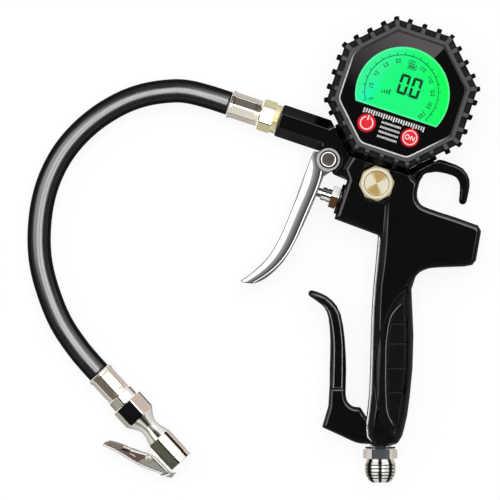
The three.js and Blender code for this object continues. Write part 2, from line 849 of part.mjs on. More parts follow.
// ---------------------------------------------------------------- trigger
function triggerSolid() {
  const [px, py] = trigger.pivot;
  const curve = (points, divisions) =>
    new THREE.SplineCurve(points.map(([x, y]) => new THREE.Vector2(x, y))).getPoints(divisions);
  const eye = [];
  for (let i = 0; i <= eyeArc.steps; i += 1) {
    const degrees = THREE.MathUtils.lerp(eyeArc.from, eyeArc.to, i / eyeArc.steps);
    const angle = THREE.MathUtils.degToRad(degrees);
    eye.push(
      new THREE.Vector2(
        px + trigger.eyeRadius * Math.cos(angle),
        py + trigger.eyeRadius * Math.sin(angle),
      ),
    );
  }
  const side = new THREE.Shape([...curve(triggerFront, 18), ...curve(triggerRear, 18), ...eye]);
  const blank = middleSlab(side, trigger.width, trigger.rounding, 2);
  const lean = THREE.MathUtils.degToRad(trigger.leanDegrees);
  const inward = ([x, y]) => [x + trigger.wall * Math.cos(lean), y - trigger.wall * Math.sin(lean)];
  const channelFront = triggerFront.slice(0, 6).map(inward);
  const { foot, footStart, behind, above } = triggerChannel;
  const channel = polygon([
    [channelFront[0][0] + trigger.wall, above],
    ...channelFront,
    [footStart, foot],
    [behind, foot],
    [behind, above],
  ]);
  const holes = upright(rod(pin.radius + 0.2, -beyond, beyond));
  return cut(
    blank,
    middleSlab(channel, trigger.width - 2 * trigger.wall),
    inGun(holes, pivotFrame),
  );
}

add(gun, 'trigger', triggerSolid(), 'chrome');

const pinEnd = trigger.width / 2 + clearance;
add(
  pivotFrame,
  'trigger_pin',
  upright(
    turned(
      [
        [0, -pinEnd - 1.6],
        [pin.radius, -pinEnd - 1.6],
        [pin.radius, pinEnd],
        [pin.headRadius, pinEnd],
        [pin.headRadius, pinEnd + pin.headHeight - 0.2],
        [pin.headRadius - 0.3, pinEnd + pin.headHeight],
        [pin.dishRadius, pinEnd + pin.headHeight],
        [pin.dishRadius - 0.2, pinEnd + 0.25],
        [0, pinEnd + 0.25],
      ],
      24,
    ),
  ),
  'nickel',
);
add(
  pivotFrame,
  'trigger_ring',
  upright(
    turnedRing(
      [
        [pin.radius + 0.15, -pinEnd - 0.9],
        [pin.ringRadius, -pinEnd - 0.9],
        [pin.ringRadius, -pinEnd],
        [pin.radius + 0.15, -pinEnd],
      ],
      24,
    ),
  ),
  'steel',
);

// ---------------------------------------------------------------- valve
const glandStart = valve.bossHeight + clearance;
const glandFace = glandStart + valve.glandHeight;
const guideEnd = glandFace + valve.guideLength;
const poppetTop = -valve.glandThread - 4.6;
add(
  valveFrame,
  'valve_gland_nut',
  cut(
    union(
      nutBlank(6, valve.glandFlats, glandStart, glandFace, 0.7),
      rod(valve.guideRadius, glandStart, guideEnd, 24),
      rod(valve.chamberRadius - clearance, -valve.glandThread, glandStart + 1),
    ),
    rod(valve.stemRadius + 0.15, -valve.glandThread - 1, guideEnd + 1, 24),
    rod(valve.stemRadius + 1.5, -valve.glandThread - 1, -valve.glandThread + 2.4, 24),
  ),
  'nickel',
);
add(
  valveFrame,
  'stem_seal_ring',
  solid(
    new THREE.TorusGeometry(valve.stemRadius + 0.75, 0.55, 6, 16)
      .rotateX(Math.PI / 2)
      .translate(0, -valve.glandThread + 1.2, 0),
  ),
  'rubber',
);
add(
  valveFrame,
  'valve_stem',
  turned(
    [
      [0, poppetTop + 0.3],
      [valve.stemRadius, poppetTop + 0.3],
      [valve.stemRadius, valve.reach - 1],
      [valve.stemRadius * 0.75, valve.reach - 0.25],
      [0, valve.reach],
    ],
    24,
  ),
  'steel',
);
add(
  valveFrame,
  'valve_poppet',
  turned(
    [
      [0, poppetTop - valve.poppetThickness],
      [valve.poppetRadius - 0.8, poppetTop - valve.poppetThickness],
      [valve.poppetRadius, poppetTop - valve.poppetThickness + 0.8],
      [valve.poppetRadius, poppetTop - 0.9],
      [valve.stemRadius + 0.6, poppetTop],
      [0, poppetTop],
    ],
    24,
  ),
  'brass',
);

/** A round wire wound about Y: turns rise steadily from one height to another. */
function spring(radius, wire, turns, from, to, sides = 5, stepsPerTurn = 12) {
  const rings = [];
  const total = Math.round(turns * stepsPerTurn);
  const climb = (to - from - wire) / total;
  for (let i = 0; i <= total; i += 1) {
    const angle = (i / stepsPerTurn) * Math.PI * 2;
    const outward = new THREE.Vector3(Math.cos(angle), 0, Math.sin(angle));
    const centre = outward.clone().multiplyScalar(radius);
    centre.y = from + wire / 2 + climb * i;
    const ring = [];
    for (let k = 0; k < sides; k += 1) {
      const turn = (k / sides) * Math.PI * 2;
      const point = centre.clone().addScaledVector(outward, (Math.cos(turn) * wire) / 2);
      point.y += (Math.sin(turn) * wire) / 2;
      ring.push(point);
    }
    rings.push(ring);
  }
  return loft(rings);
}

add(
  valveFrame,
  'valve_spring',
  spring(
    3.2,
    0.8,
    4.5,
    -valve.chamberLength + clearance,
    poppetTop - valve.poppetThickness - clearance,
  ),
  'steel',
);

// ---------------------------------------------------------------- gauge
const caseBack = gauge.back + gauge.lipThickness + clearance;
const caseApothem = gauge.rimApothem - 0.8;
const innerApothem = caseApothem - gauge.wall;
const faceTop = gauge.front - gauge.faceSink;
const faceBack = faceTop - gauge.faceThickness;
const caseFront = faceBack - clearance;

function gaugeBoot() {
  const floor = gauge.front - gauge.rimDrop;
  const skirt = octagon(gauge.skirtApothem, gauge.back, floor, 0.8);
  const rim = octagon(gauge.rimApothem, gauge.back + 2, gauge.front, 0.5);
  const ribs = [];
  const cornerExtra = gauge.ribApothem * (cornerRatio - 1) - gauge.cornerTrim;
  for (let side = 0; side < 8; side += 1) {
    const overCradle = side >= 5;
    const foot = overCradle ? cradle.high + clearance : gauge.back + 1;
    for (const offset of [-1, 0, 1]) ribs.push(rib(side * 45, offset * gauge.ribPitch, 0, foot));
    ribs.push(rib(side * 45 + 22.5, 0, cornerExtra, foot));
  }
  const cavity = octagon(caseApothem + clearance, caseBack - clearance, caseFront + clearance);
  const opening = octagon(gauge.faceApothem, caseFront - 1, gauge.front + 1);
  const backOpening = octagon(gauge.faceApothem - 4, gauge.back - 1, caseBack + 1);
  const stemHole = moved(rod(stem.collarRadius + clearance, -beyond, 0), 0, 0, middle);
  return cut(union(skirt, rim, ...ribs), cavity, opening, backOpening, stemHole);
}

/** One rib: a rail across the edge, up from its foot, that steps down at its outer end. */
function rib(degrees, sideways, extra, foot) {
  const inner = gauge.rimApothem - 1.2 + extra * 0.8;
  const tip = gauge.ribApothem + extra;
  const shape = polygon([
    [inner, foot],
    [tip - 0.4, foot],
    [tip, foot + 1.5],
    [tip, gauge.front - gauge.rimDrop - 0.4],
    [tip - 1.85, gauge.front - 0.4],
    [inner, gauge.front - 0.4],
  ]);
  const geometry = new THREE.ExtrudeGeometry(shape, { depth: gauge.ribWidth, bevelEnabled: false });
  geometry.translate(0, 0, -gauge.ribWidth / 2);
  geometry.rotateX(Math.PI / 2);
  geometry.translate(0, sideways, 0);
  geometry.rotateZ(THREE.MathUtils.degToRad(degrees));
  return solid(geometry);
}

function gaugeCase() {
  const shell = octagon(caseApothem, caseBack, caseFront, 0.6);
  const hollow = octagon(innerApothem, caseBack + gauge.wall + 1.2, caseFront + 1);
  const stemHole = moved(rod(stem.radius + clearance, -beyond, 0), 0, 0, middle);
  const pocket = box(cover.width, cover.height, caseBack - 1, caseBack + cover.thickness);
  const well = box(
    battery.length + 1,
    battery.radius * 4 + battery.gap + 1,
    caseBack,
    caseBack + gauge.wall + 2,
  );
  const screwHoles = coverScrewPlaces().map(([x, y]) =>
    moved(upright(rod(coverScrew.radius + 0.2, 0, 5, 16)), x, y, caseBack - 0.5),
  );
  return cut(shell, hollow, stemHole, pocket, well, ...screwHoles);
}

/** A block centred on the gauge between two heights. */
function box(width, height, low, high, x = 0, y = 0) {
  const geometry = new THREE.BoxGeometry(width, height, high - low);
  geometry.translate(x, y, (low + high) / 2);
  return solid(geometry);
}

/** One screw at the middle of each long edge of the cover, outside the well for the cells. */
function coverScrewPlaces() {
  const y = cover.height / 2 - coverScrew.inset;
  return [[0, y], [0, -y]];
}

/** The display's outline: a circle with its foot cut off. */
function displayShape(radius, chord) {
  const half = Math.acos(chord / radius);
  const start = -Math.PI / 2 + half;
  const end = (3 * Math.PI) / 2 - half;
  const points = [];
  for (let i = 0; i <= 36; i += 1) {
    const angle = start + ((end - start) * i) / 36;
    points.push([radius * Math.cos(angle), radius * Math.sin(angle)]);
  }
  return polygon(points);
}

function facePlate() {
  const plate = octagon(gauge.faceApothem - 0.2, faceBack, faceTop, 0.3);
  const window = slab(
    displayShape(display.radius + 0.1, display.chord + 0.1),
    faceBack - 1,
    faceTop + 1,
  );
  const holes = Object.values(buttons).map(([x, y]) =>
    moved(upright(rod(button.radius + 0.2, -2, 5)), x, y, faceBack),
  );
  return cut(plate, window, ...holes);
}

const windowTop = faceTop - 0.1;
const windowBack = windowTop - display.windowThickness;
const displayTop = faceBack - clearance;
const boardTop = displayTop - display.thickness - board.gapBelowDisplay;

add(gaugeFrame, 'gauge_boot', gaugeBoot(), 'bootGrey');
add(gaugeFrame, 'gauge_case', gaugeCase(), 'blackSatin');
add(gaugeFrame, 'face_plate', facePlate(), 'blackGloss');
add(
  gaugeFrame,
  'display_window',
  slab(displayShape(display.radius - 0.2, display.chord - 0.2), windowBack, windowTop),
  'clear',
);
add(
  gaugeFrame,
  'lcd_display',
  slab(displayShape(display.radius + 1.2, display.chord + 0.4), displayTop - display.thickness, displayTop),
  'displayGreen',
);
add(
  gaugeFrame,
  'circuit_board',
  octagon(innerApothem - board.inset, boardTop - board.thickness, boardTop),
  'boardGreen',
);

/** A push button: a cap through the face, with a flange that keeps it in. */
function pushButton() {
  const flangeTop = faceBack - clearance;
  const top = faceTop + button.proud;
  return upright(
    turned(
      [
        [0, flangeTop - button.flangeThickness],
        [button.radius + button.flange, flangeTop - button.flangeThickness],
        [button.radius + button.flange, flangeTop],
        [button.radius, flangeTop],
        [button.radius, top - 0.3],
        [button.radius - 0.3, top],
        [0, top],
      ],
      24,
    ),
  );
}

const switchTop = faceBack - clearance - button.flangeThickness - button.travel - clearance;
for (const [name, [x, y]] of Object.entries(buttons)) {
  const place = new THREE.Group();
  place.position.set(x, y, 0);
  gaugeFrame.add(place);
  add(place, `${name}_button`, pushButton(), 'buttonRed');
  add(place, `${name}_switch`, box(6, 6, boardTop + clearance, switchTop), 'steel');
}

const batteryBottom = caseBack + cover.thickness + 2 * clearance;
[-1, 1].forEach((side, i) => {
  const place = new THREE.Group();
  place.position.set(
    0,
    side * (battery.radius + battery.gap / 2),
    batteryBottom + battery.radius,
  );
  place.rotation.z = Math.PI / 2;
  gaugeFrame.add(place);
  const half = battery.length / 2;
  const cell = turned(
    [
      [0, -half],
      [battery.radius - 0.4, -half],
      [battery.radius, -half + 0.4],
      [battery.radius, half - 1.4],
      [battery.radius - 0.4, half - 1],
      [1.9, half - 1],
      [1.9, half],
      [0, half],
    ],
    20,
  );
  add(place, `battery_${i + 1}`, cell, 'steel');
});

const coverBack = caseBack + clearance;
const coverFront = caseBack + cover.thickness - clearance;
const coverGap = 2 * clearance;
add(
  gaugeFrame,
  'battery_cover',
  cut(
    box(cover.width - coverGap, cover.height - coverGap, caseBack, coverFront),
    ...coverScrewPlaces().map(([x, y]) =>
      moved(upright(rod(coverScrew.radius + 0.2, -2, 6, 16)), x, y, caseBack),
    ),
  ),
  'blackSatin',
);
coverScrewPlaces().forEach(([x, y], i) => {
  const screw = turned(
    [
      [0, coverScrew.length],
      [coverScrew.radius, coverScrew.length],
      [coverScrew.radius, 0],
      [coverScrew.headRadius, 0],
      [coverScrew.headRadius, -coverScrew.headHeight],
      [0, -coverScrew.headHeight],
    ],
    20,
  );
  const place = new THREE.Group();
  place.position.set(x, y, coverBack - 2 * clearance);
  gaugeFrame.add(place);
  add(place, `cover_screw_${i + 1}`, upright(screw), 'steel');
});

const stemTop = -innerApothem + stem.intoCase;
const stemGroup = new THREE.Group();
stemGroup.position.set(0, 0, middle);
gaugeFrame.add(stemGroup);
add(
  stemGroup,
  'gauge_stem',
  cut(
    union(
      rod(stem.radius, gaugeStemEnd(), stemTop, 28),
      rod(stem.collarRadius, -gauge.ribApothem + 0.2, -caseApothem - clearance, 28),
    ),
    rod(stem.boreRadius, gaugeStemEnd() - 1, stemTop + 1, 16),
  ),
  'brass',
);
add(
  stemGroup,
  'pressure_sensor',
  rod(sensor.radius, stemTop + clearance, stemTop + clearance + sensor.length, 24),
  'steel',
);

// ---------------------------------------------------------------- hose, gun's end
const nutStart = clearance + nut.collarLength;
const nutEnd = nutStart + nut.length;
const hoseBore = 3.2;
const insertBore = 1.6; // the air way through the barbed inserts and the chuck
add(
  muzzleFrame,
  'hose_nut',
  cut(
    union(
      rod(nut.collarRadius, clearance, nutStart + 0.5),
      nutBlank(6, nut.flats, nutStart, nutEnd, 0.9),
      rod(barrel.boreRadius - clearance, -nut.threadLength, clearance + 1),
    ),
    rod(hoseBore + 0.3, -nut.threadLength - 1, nutEnd + 1, 24),
  ),
  'brass',
);
const ferruleStart = nutEnd + 0.6;
const ferruleEnd = ferruleStart + ferruleGun.length;
const insertRadius = hoseBore - 0.2;
add(
  muzzleFrame,
  'hose_insert_gun',
  cut(
    turned(
      [
        [0, -nut.threadLength + 1],
        [insertRadius, -nut.threadLength + 1],
        [insertRadius, ferruleEnd - 2],
        [insertRadius - 0.5, ferruleEnd - 1],
        [0, ferruleEnd - 1],
      ],
      24,
    ),
    rod(insertBore, -nut.threadLength - 1, ferruleEnd + 1, 16),
  ),
  'brass',
);

/** A crimped shell: round at the ends, pressed in facets between, on the insert. */
function ferrule(start, length, radius, flare, bore) {
  const shell = turned(
    [
      [0, start],
      [radius - 0.6, start],
      [radius, start + 0.6],
      [radius, start + length * 0.24],
      [radius - 0.25, start + length * 0.3],
      [radius - 0.25, start + length * 0.72],
      [radius + 0.1, start + length * 0.78],
      [flare, start + length - 0.8],
      [flare - 0.4, start + length],
      [0, start + length],
    ],
    8,
  );
  return cut(shell, rod(bore, start - 1, start + length + 1, 24));
}

add(
  muzzleFrame,
  'ferrule_gun',
  ferrule(ferruleStart, ferruleGun.length, ferruleGun.radius, ferruleGun.flare, hoseBore),
  'nickel',
);

// ---------------------------------------------------------------- chuck
const collarStart = chuck.ferruleLength + clearance;
const hexStart = collarStart + chuck.collarLength + clearance;
const neckStart = hexStart + chuck.hexLength;
const sleeveStart = neckStart + chuck.neckLength;
const mouth = sleeveStart + chuck.sleeveLength;

/** The chuck's ferrule, seen from its own end: its flare points back along the hose. */
function chuckFerrule() {
  const shell = ferrule(
    -chuck.ferruleLength,
    chuck.ferruleLength,
    chuck.ferruleRadius,
    chuck.flareRadius,
    hoseBore,
  );
  const geometry = geometryOf(shell);
  geometry.rotateX(Math.PI);
  return solid(geometry);
}

function chuckBody() {
  const blank = geometryOf(nutBlank(6, chuck.hexFlats, hexStart, neckStart, 1.2));
  blank.rotateY(THREE.MathUtils.degToRad(chuck.hexTurnDegrees));
  const hex = solid(blank);
  const neck = [];
  const count = 10;
  for (let i = 0; i <= count; i += 1) {
    const t = i / count;
    const waist = Math.sin(Math.PI * t) ** 1.1;
    const start = THREE.MathUtils.lerp(chuck.neckStartRadius, chuck.sleeveRadius - 0.2, t);
    const radius = THREE.MathUtils.lerp(start, chuck.neckRadius, waist);
    neck.push([radius, neckStart + t * chuck.neckLength]);
  }
  const spindle = turned([
    [0, hexStart + 1],
    [5, hexStart + 1],
    ...neck,
    [chuck.sleeveRadius, mouth - 2],
    [chuck.sleeveRadius - 0.5, mouth - 1.8],
    [chuck.sleeveRadius - 0.5, mouth - 1.4],
    [chuck.sleeveRadius, mouth - 1.2],
    [chuck.sleeveRadius, mouth - 0.4],
    [chuck.sleeveRadius - 0.4, mouth],
    [0, mouth],
  ]);
  const lugShape = polygon([
    [3, clip.along - 3.2],
    [clip.pivot + 1.4, clip.along - 2.4],
    [clip.pivot + 2.4, clip.along],
    [clip.pivot + 1.4, clip.along + 2.4],
    [3, clip.along + 3.2],
  ]);
  const lug = slab(lugShape, -chuck.lugThickness / 2, chuck.lugThickness / 2);
  return cut(
    union(hex, spindle, lug),
    rod(chuck.boreRadius, mouth - chuck.boreDepth, mouth + 1, 24),
    rod(insertBore, hexStart - 1, mouth, 16),
    rod(hoseBore + 0.3, hexStart - 1, hexStart + 8, 24),
    moved(upright(rod(clip.pinRadius + 0.1, -10, 10, 16)), clip.pivot, clip.along, 0),
  );
}

add(chuckFrame, 'ferrule_chuck', chuckFerrule(), 'nickel');
add(
  chuckFrame,
  'hose_insert_chuck',
  cut(
    turned(
      [
        [0, 1],
        [hoseBore - 0.7, 1],
        [hoseBore - 0.2, 2],
        [hoseBore - 0.2, collarStart],
        [chuck.collarRadius - 0.3, collarStart],
        [chuck.collarRadius, collarStart + 0.5],
        [chuck.collarRadius, collarStart + chuck.collarLength - 0.5],
        [chuck.collarRadius - 0.3, collarStart + chuck.collarLength],
        [hoseBore, collarStart + chuck.collarLength],
        [hoseBore, hexStart + 7],
        [0, hexStart + 7],
      ],
      24,
    ),
    rod(insertBore, 0, hexStart + 9, 16),
  ),
  'nickel',
);
add(chuckFrame, 'chuck_body', chuckBody(), 'nickel');
add(
  chuckFrame,
  'chuck_seal',
  turnedRing(
    [
      [2.2, mouth - chuck.sealDepth - chuck.sealThickness],
      [chuck.boreRadius - clearance, mouth - chuck.sealDepth - chuck.sealThickness],
      [chuck.boreRadius - clearance, mouth - chuck.sealDepth],
      [2.8, mouth - chuck.sealDepth],
    ],
    20,
  ),
  'rubber',
);
add(
  chuckFrame,
  'chuck_pin',
  turned(
    [
      [0, mouth - chuck.boreDepth + clearance],
      [chuck.boreRadius - 0.6, mouth - chuck.boreDepth + clearance],
      [chuck.boreRadius - 0.6, mouth - chuck.boreDepth + 3],
      [1.2, mouth - chuck.boreDepth + 3.4],
      [1.2, mouth - chuck.sealDepth - 1.2],
      [0, mouth - chuck.sealDepth - 0.8],
    ],
    20,
  ),
  'brass',
);

/** The clip: thumb plate, cheeks about the pivot and claws in front of the mouth. */
function clipLever() {
  const outline = smoothOutline(
    [clipOuter, clipClaw, clipClawTip, clipCheek, clipInner, clipThumb],
    2,
  );
  const half = clip.width / 2;
  const blank = slab(outline, -half, half, 0.4, 2);
  const [reach, end] = [clipOuter[0][0], clipOuter.at(-1)[1] * 1.2];
  const between = polygon([
    [0, clipNotch.start],
    [reach, clipNotch.start],
    [reach, end],
    [0, end],
  ]);
  const notch = slab(between, -clipNotch.width / 2, clipNotch.width / 2);
  const holes = moved(upright(rod(clip.pinRadius + 0.15, -10, 10, 16)), clip.pivot, clip.along, 0);
  const hollow = slab(polygon(clipHollow), -half + clip.wall, half - clip.wall);
  return cut(blank, hollow, notch, holes);
}

add(chuckFrame, 'clip_lever', clipLever(), 'chrome');
const clipPinEnd = clip.width / 2 + 0.3;
const clipPinGroup = new THREE.Group();
clipPinGroup.position.set(clip.pivot, clip.along, 0);
chuckFrame.add(clipPinGroup);
add(
  clipPinGroup,
  'clip_pin',
  upright(
    turned(
      [
        [0, -clipPinEnd],
        [clip.pinRadius, -clipPinEnd],
        [clip.pinRadius, clipPinEnd],
        [clip.pinRadius + 0.8, clipPinEnd],
        [clip.pinRadius + 0.8, clipPinEnd + 0.6],
        [0, clipPinEnd + 0.7],
      ],
      16,
    ),
  ),
  'steel',
);
add(
  clipPinGroup,
  'clip_spring',
  upright(
    spring(
      clip.pinRadius + 0.65,
      0.5,
      2,
      chuck.lugThickness / 2 + 0.15,
      clip.width / 2 - clip.wall - 0.15,
      5,
      10,
    ),
  ),
  'steel',
);

// ---------------------------------------------------------------- hose
/** The hose's free stretch, square to both ferrules and a hair short of them. */
function hoseSolid() {
  const end = (frame, y) => new THREE.Vector3(0, y, 0).applyMatrix4(frame.matrix);
  const gunEnd = ferruleEnd + clearance;
  const points = [
    end(muzzleFrame, gunEnd),
    end(muzzleFrame, gunEnd + 5),
    ...hosePoints.map((p) => new THREE.Vector3(...p)),
    end(chuckFrame, -6 - clearance),
    end(chuckFrame, -clearance),
  ];
  const curve = new THREE.CatmullRomCurve3(points, false, 'centripetal');
  const section = new THREE.Shape().absarc(0, 0, hoseSize.diameter / 2, 0, Math.PI * 2);
  const geometry = new THREE.ExtrudeGeometry(section, {
    steps: 26,
    extrudePath: curve,
    curveSegments: 6,
    bevelEnabled: false,
  });
  console.log(`hose: ${curve.getLength().toFixed(1)} mm of free stretch`);
  return solid(geometry);
}

add(gun, 'hose', hoseSolid(), 'hoseBlack');

// The origin is under the middle of the gun, gauge, hose and chuck left out of the measure.
const cordNames = ['hose', 'ferrule_gun', 'ferrule_chuck', 'hose_insert_chuck', 'chuck_body'];
const chuckNames = ['chuck_seal', 'chuck_pin', 'clip_lever', 'clip_pin', 'clip_spring'];
const onTheHose = new Set([...cordNames, ...chuckNames, 'hose_insert_gun']);
assembly.updateMatrixWorld(true);
const bounds = new THREE.Box3();
assembly.traverse((item) => {
  if (item.isMesh && !onTheHose.has(item.name)) bounds.expandByObject(item, true);
});
const base = bounds.getCenter(new THREE.Vector3());
assembly.position.set(-base.x, -base.y, -bounds.min.z);
console.log(`origin of the drawing: ${assembly.position.toArray().map((v) => v.toFixed(4))}`);

export default assembly;
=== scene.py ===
"""A tyre inflator with a gauge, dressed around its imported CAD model.

The file is laid out as an add-on: the sizes and colours are properties, every piece or group
of like pieces has its own operator, and a panel in the 3D view's sidebar lists them.
Places are given in millimetres of the drawing and are turned into metres of the frame.
"""

import math

import bpy
import numpy as np
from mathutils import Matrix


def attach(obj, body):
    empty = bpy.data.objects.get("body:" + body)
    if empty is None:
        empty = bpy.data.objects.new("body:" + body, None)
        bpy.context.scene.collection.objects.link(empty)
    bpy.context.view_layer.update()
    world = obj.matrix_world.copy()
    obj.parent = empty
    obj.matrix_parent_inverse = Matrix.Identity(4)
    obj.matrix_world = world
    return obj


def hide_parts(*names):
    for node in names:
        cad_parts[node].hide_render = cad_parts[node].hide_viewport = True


bl_info = {
    "name": "Tyre Inflator",
    "version": (1, 0, 0),
    "blender": (4, 5, 0),
    "location": "View3D > Sidebar > Inflator",
    "description": "Dresses a tyre inflator and its gauge, piece by piece",
    "category": "Object",
}

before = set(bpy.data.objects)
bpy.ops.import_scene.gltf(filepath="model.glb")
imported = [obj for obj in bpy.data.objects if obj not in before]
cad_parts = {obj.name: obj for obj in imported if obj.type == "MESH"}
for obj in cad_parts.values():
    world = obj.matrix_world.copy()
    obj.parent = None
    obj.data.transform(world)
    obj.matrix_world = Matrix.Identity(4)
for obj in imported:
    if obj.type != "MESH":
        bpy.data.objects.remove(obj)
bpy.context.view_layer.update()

MILLIMETRE = 0.001
# From the drawing's origin, in the handle's foot, to the frame's.
SHIFT = np.array([9.875, -116.559, 0.0])
TILT = 18.5


# ------------------------------------------------------------------ places


def lying(x, y, z, degrees):
    """A place whose axis lies in the drawing's plane: origin, then along, side and up."""
    c, s = math.cos(math.radians(degrees)), math.sin(math.radians(degrees))
    return np.array([[x, y, z], [c, s, 0], [-s, c, 0], [0, 0, 1]], float)


def standing(x, y, z, degrees):
    """A place whose axis stands upright, with its side direction turned by the degrees."""
    c, s = math.cos(math.radians(degrees)), math.sin(math.radians(degrees))
    return np.array([[x, y, z], [0, 0, 1], [c, s, 0], [-s, c, 0]], float)


MUZZLE = lying(-50.9, 181.6, 12.5, 180 - TILT)
VALVE = lying(-19.75, 141.75, 12.5, 180 - TILT)
INLET = lying(0, 18.2, 12.5, -90)
CHUCK = lying(-140.65, 54.7, 9, -47.4)
PLUG = standing(-2, 149.75, 12.5, -TILT)
PIVOT = standing(-26, 161.75, 12.5, 0)
GAUGE = standing(10.75, 194.25, 0, -TILT)
# The gauge's middle again, with its side direction across the picture, for light and sheen.
LEVEL = standing(10.75, 194.25, 0, 0)
# The clip folds in a plane through the chuck's axis: its axis is up, its side along the chuck.
CLIP = CHUCK[[0, 3, 1, 2]] * [[1], [1], [1], [-1]]


def placed(place, points):
    """Local (along, side, up) millimetres to metres of the frame."""
    return (place[0] + points @ place[1:] + SHIFT) * MILLIMETRE


# ------------------------------------------------------------------ surfaces


def new_piece(name, points, quads, triangles=None):
    """A mesh object from arrays: points, four-cornered faces and three-cornered ones."""
    quads = np.asarray(quads, np.int32).reshape(-1, 4)
    if triangles is None:
        triangles = np.zeros((0, 3), np.int32)
    triangles = np.asarray(triangles, np.int32).reshape(-1, 3)
    corners = np.concatenate([quads.ravel(), triangles.ravel()])
    starts = np.concatenate(
        [np.arange(len(quads)) * 4, len(quads) * 4 + np.arange(len(triangles)) * 3]
    )
    mesh = bpy.data.meshes.new(name)
    mesh.vertices.add(len(points))
    mesh.vertices.foreach_set("co", np.asarray(points, np.float32).ravel())
    mesh.loops.add(len(corners))
    mesh.loops.foreach_set("vertex_index", corners)
    mesh.polygons.add(len(starts))
    mesh.polygons.foreach_set("loop_start", starts.astype(np.int32))
    mesh.polygons.foreach_set("use_smooth", np.ones(len(starts), bool))
    mesh.update(calc_edges=True)
    mesh.validate()
    piece = bpy.data.objects.new(name, mesh)
    bpy.context.scene.collection.objects.link(piece)
    return piece


def grid_faces(rows, columns, rows_close=False, columns_close=True):
    """Faces between neighbouring points of a grid whose rows or columns may close on themselves."""
    i = np.arange(rows if rows_close else rows - 1)[:, None]
    j = np.arange(columns if columns_close else columns - 1)[None, :]
    i1, j1 = (i + 1) % rows, (j + 1) % columns
    corners = [i * columns + j, i * columns + j1, i1 * columns + j1, i1 * columns + j]
    return np.stack(np.broadcast_arrays(*corners), -1).reshape(-1, 4)


def softened(corners, radius, steps=4, closed=False):
    """A profile with its corners rounded: each corner P between neighbours A and B becomes the
    curve (1-t)²S + 2t(1-t)P + t²E, where S and E lie one radius from P towards A and B."""
    p = np.asarray(corners, float)
    before, after = np.roll(p, 1, 0) - p, np.roll(p, -1, 0) - p
    radius = np.broadcast_to(np.asarray(radius, float), len(p))[:, None]
    reach = [
        leg * np.minimum(radius / np.maximum(np.linalg.norm(leg, axis=1, keepdims=True), 1e-9), 0.4)
        for leg in (before, after)
    ]
    start, end = p + reach[0], p + reach[1]
    t = np.linspace(0, 1, steps + 1)[None, :, None]
    curve = (1 - t) ** 2 * start[:, None] + 2 * t * (1 - t) * p[:, None] + t**2 * end[:, None]
    guard = [(p + 1.2 * r)[:, None] for r in reach]
    rows = np.concatenate([guard[0], curve, guard[1]], 1)
    if closed:
        return rows.reshape(-1, 2)
    return np.concatenate([p[:1], rows[1:-1].reshape(-1, 2), p[-1:]])


def flats(angle, count, across, turn=0.0, sharpness=60.0):
    """Radius of a rounded polygon: across / 2 over the power mean of the cosines to its flats."""
    centres = np.radians(turn) + np.arange(count) * 2 * np.pi / count
    cosines = np.clip(np.cos(angle[..., None] - centres), 0, None)
    return across / 2 / (cosines**sharpness).sum(-1) ** (1 / sharpness)


def dense(profile, step=0.3):
    """The same profile with points added along its longer legs."""
    profile = np.asarray(profile, float)
    run = np.concatenate([[0], np.cumsum(np.linalg.norm(np.diff(profile, axis=0), axis=1))])
    every = np.union1d(run, np.arange(0, run[-1], step))
    return np.stack([np.interp(every, run, profile[:, k]) for k in range(2)], -1)


def fans(rows, around):
    """Three-cornered faces from a closed grid's first and last rows to two points after it."""
    j = np.arange(around)
    ahead, tip, top = (j + 1) % around, rows * around, (rows - 1) * around
    near = np.stack([np.full(around, tip), ahead, j], -1)
    far = np.stack([np.full(around, tip + 1), top + j, top + ahead], -1)
    return np.concatenate([near, far])


def turned(name, place, profile, press=None, around=96, ring=False):
    """A profile of (along, radius) carried round an axis. press(along, radius, angle) gives the
    radius where the piece isn't round. A ring's profile closes; any other ends on the axis."""
    profile = np.asarray(profile, float)
    angle = np.arange(around) * 2 * np.pi / around
    along = np.repeat(profile[:, :1], around, 1)
    radius = np.repeat(profile[:, 1:], around, 1)
    if press is not None:
        radius = press(along, radius, np.broadcast_to(angle, along.shape))
    points = np.stack([along, radius * np.cos(angle), radius * np.sin(angle)], -1)
    if ring:
        faces = grid_faces(len(profile), around, rows_close=True)
        return new_piece(name, placed(place, points.reshape(-1, 3)), faces)
    body = points[1:-1]
    ends = np.array([[profile[0, 0], 0, 0], [profile[-1, 0], 0, 0]])
    every = placed(place, np.concatenate([body.reshape(-1, 3), ends]))
    return new_piece(name, every, grid_faces(len(body), around), fans(len(body), around))


def through(points, spacing):
    """A centripetal Catmull-Rom curve through the points, sampled about every spacing."""
    p = np.asarray(points, float)
    p = np.concatenate([2 * p[:1] - p[1:2], p, 2 * p[-1:] - p[-2:-1]])
    gap = np.linalg.norm(np.diff(p, axis=0), axis=1) ** 0.5
    a, b, c, d = p[:-3], p[1:-2], p[2:-1], p[3:]
    g0, g1, g2 = gap[:-2, None], gap[1:-1, None], gap[2:, None]
    leave = ((b - a) / g0 - (c - a) / (g0 + g1) + (c - b) / g1) * g1
    arrive = ((c - b) / g1 - (d - b) / (g1 + g2) + (d - c) / g2) * g1
    t = (np.arange(24) / 24)[None, :, None]
    b, c, leave, arrive = (v[:, None] for v in (b, c, leave, arrive))
    curve = (
        (2 * t**3 - 3 * t**2 + 1) * b
        + (t**3 - 2 * t**2 + t) * leave
        + (3 * t**2 - 2 * t**3) * c
        + (t**3 - t**2) * arrive
    ).reshape(-1, 3)
    curve = np.concatenate([curve, p[-2:-1]])
    run = np.concatenate([[0], np.cumsum(np.linalg.norm(np.diff(curve, axis=0), axis=1))])
    even = np.linspace(0, run[-1], int(round(run[-1] / spacing)) + 1)
    return np.stack([np.interp(even, run, curve[:, k]) for k in range(3)], -1), run[-1]


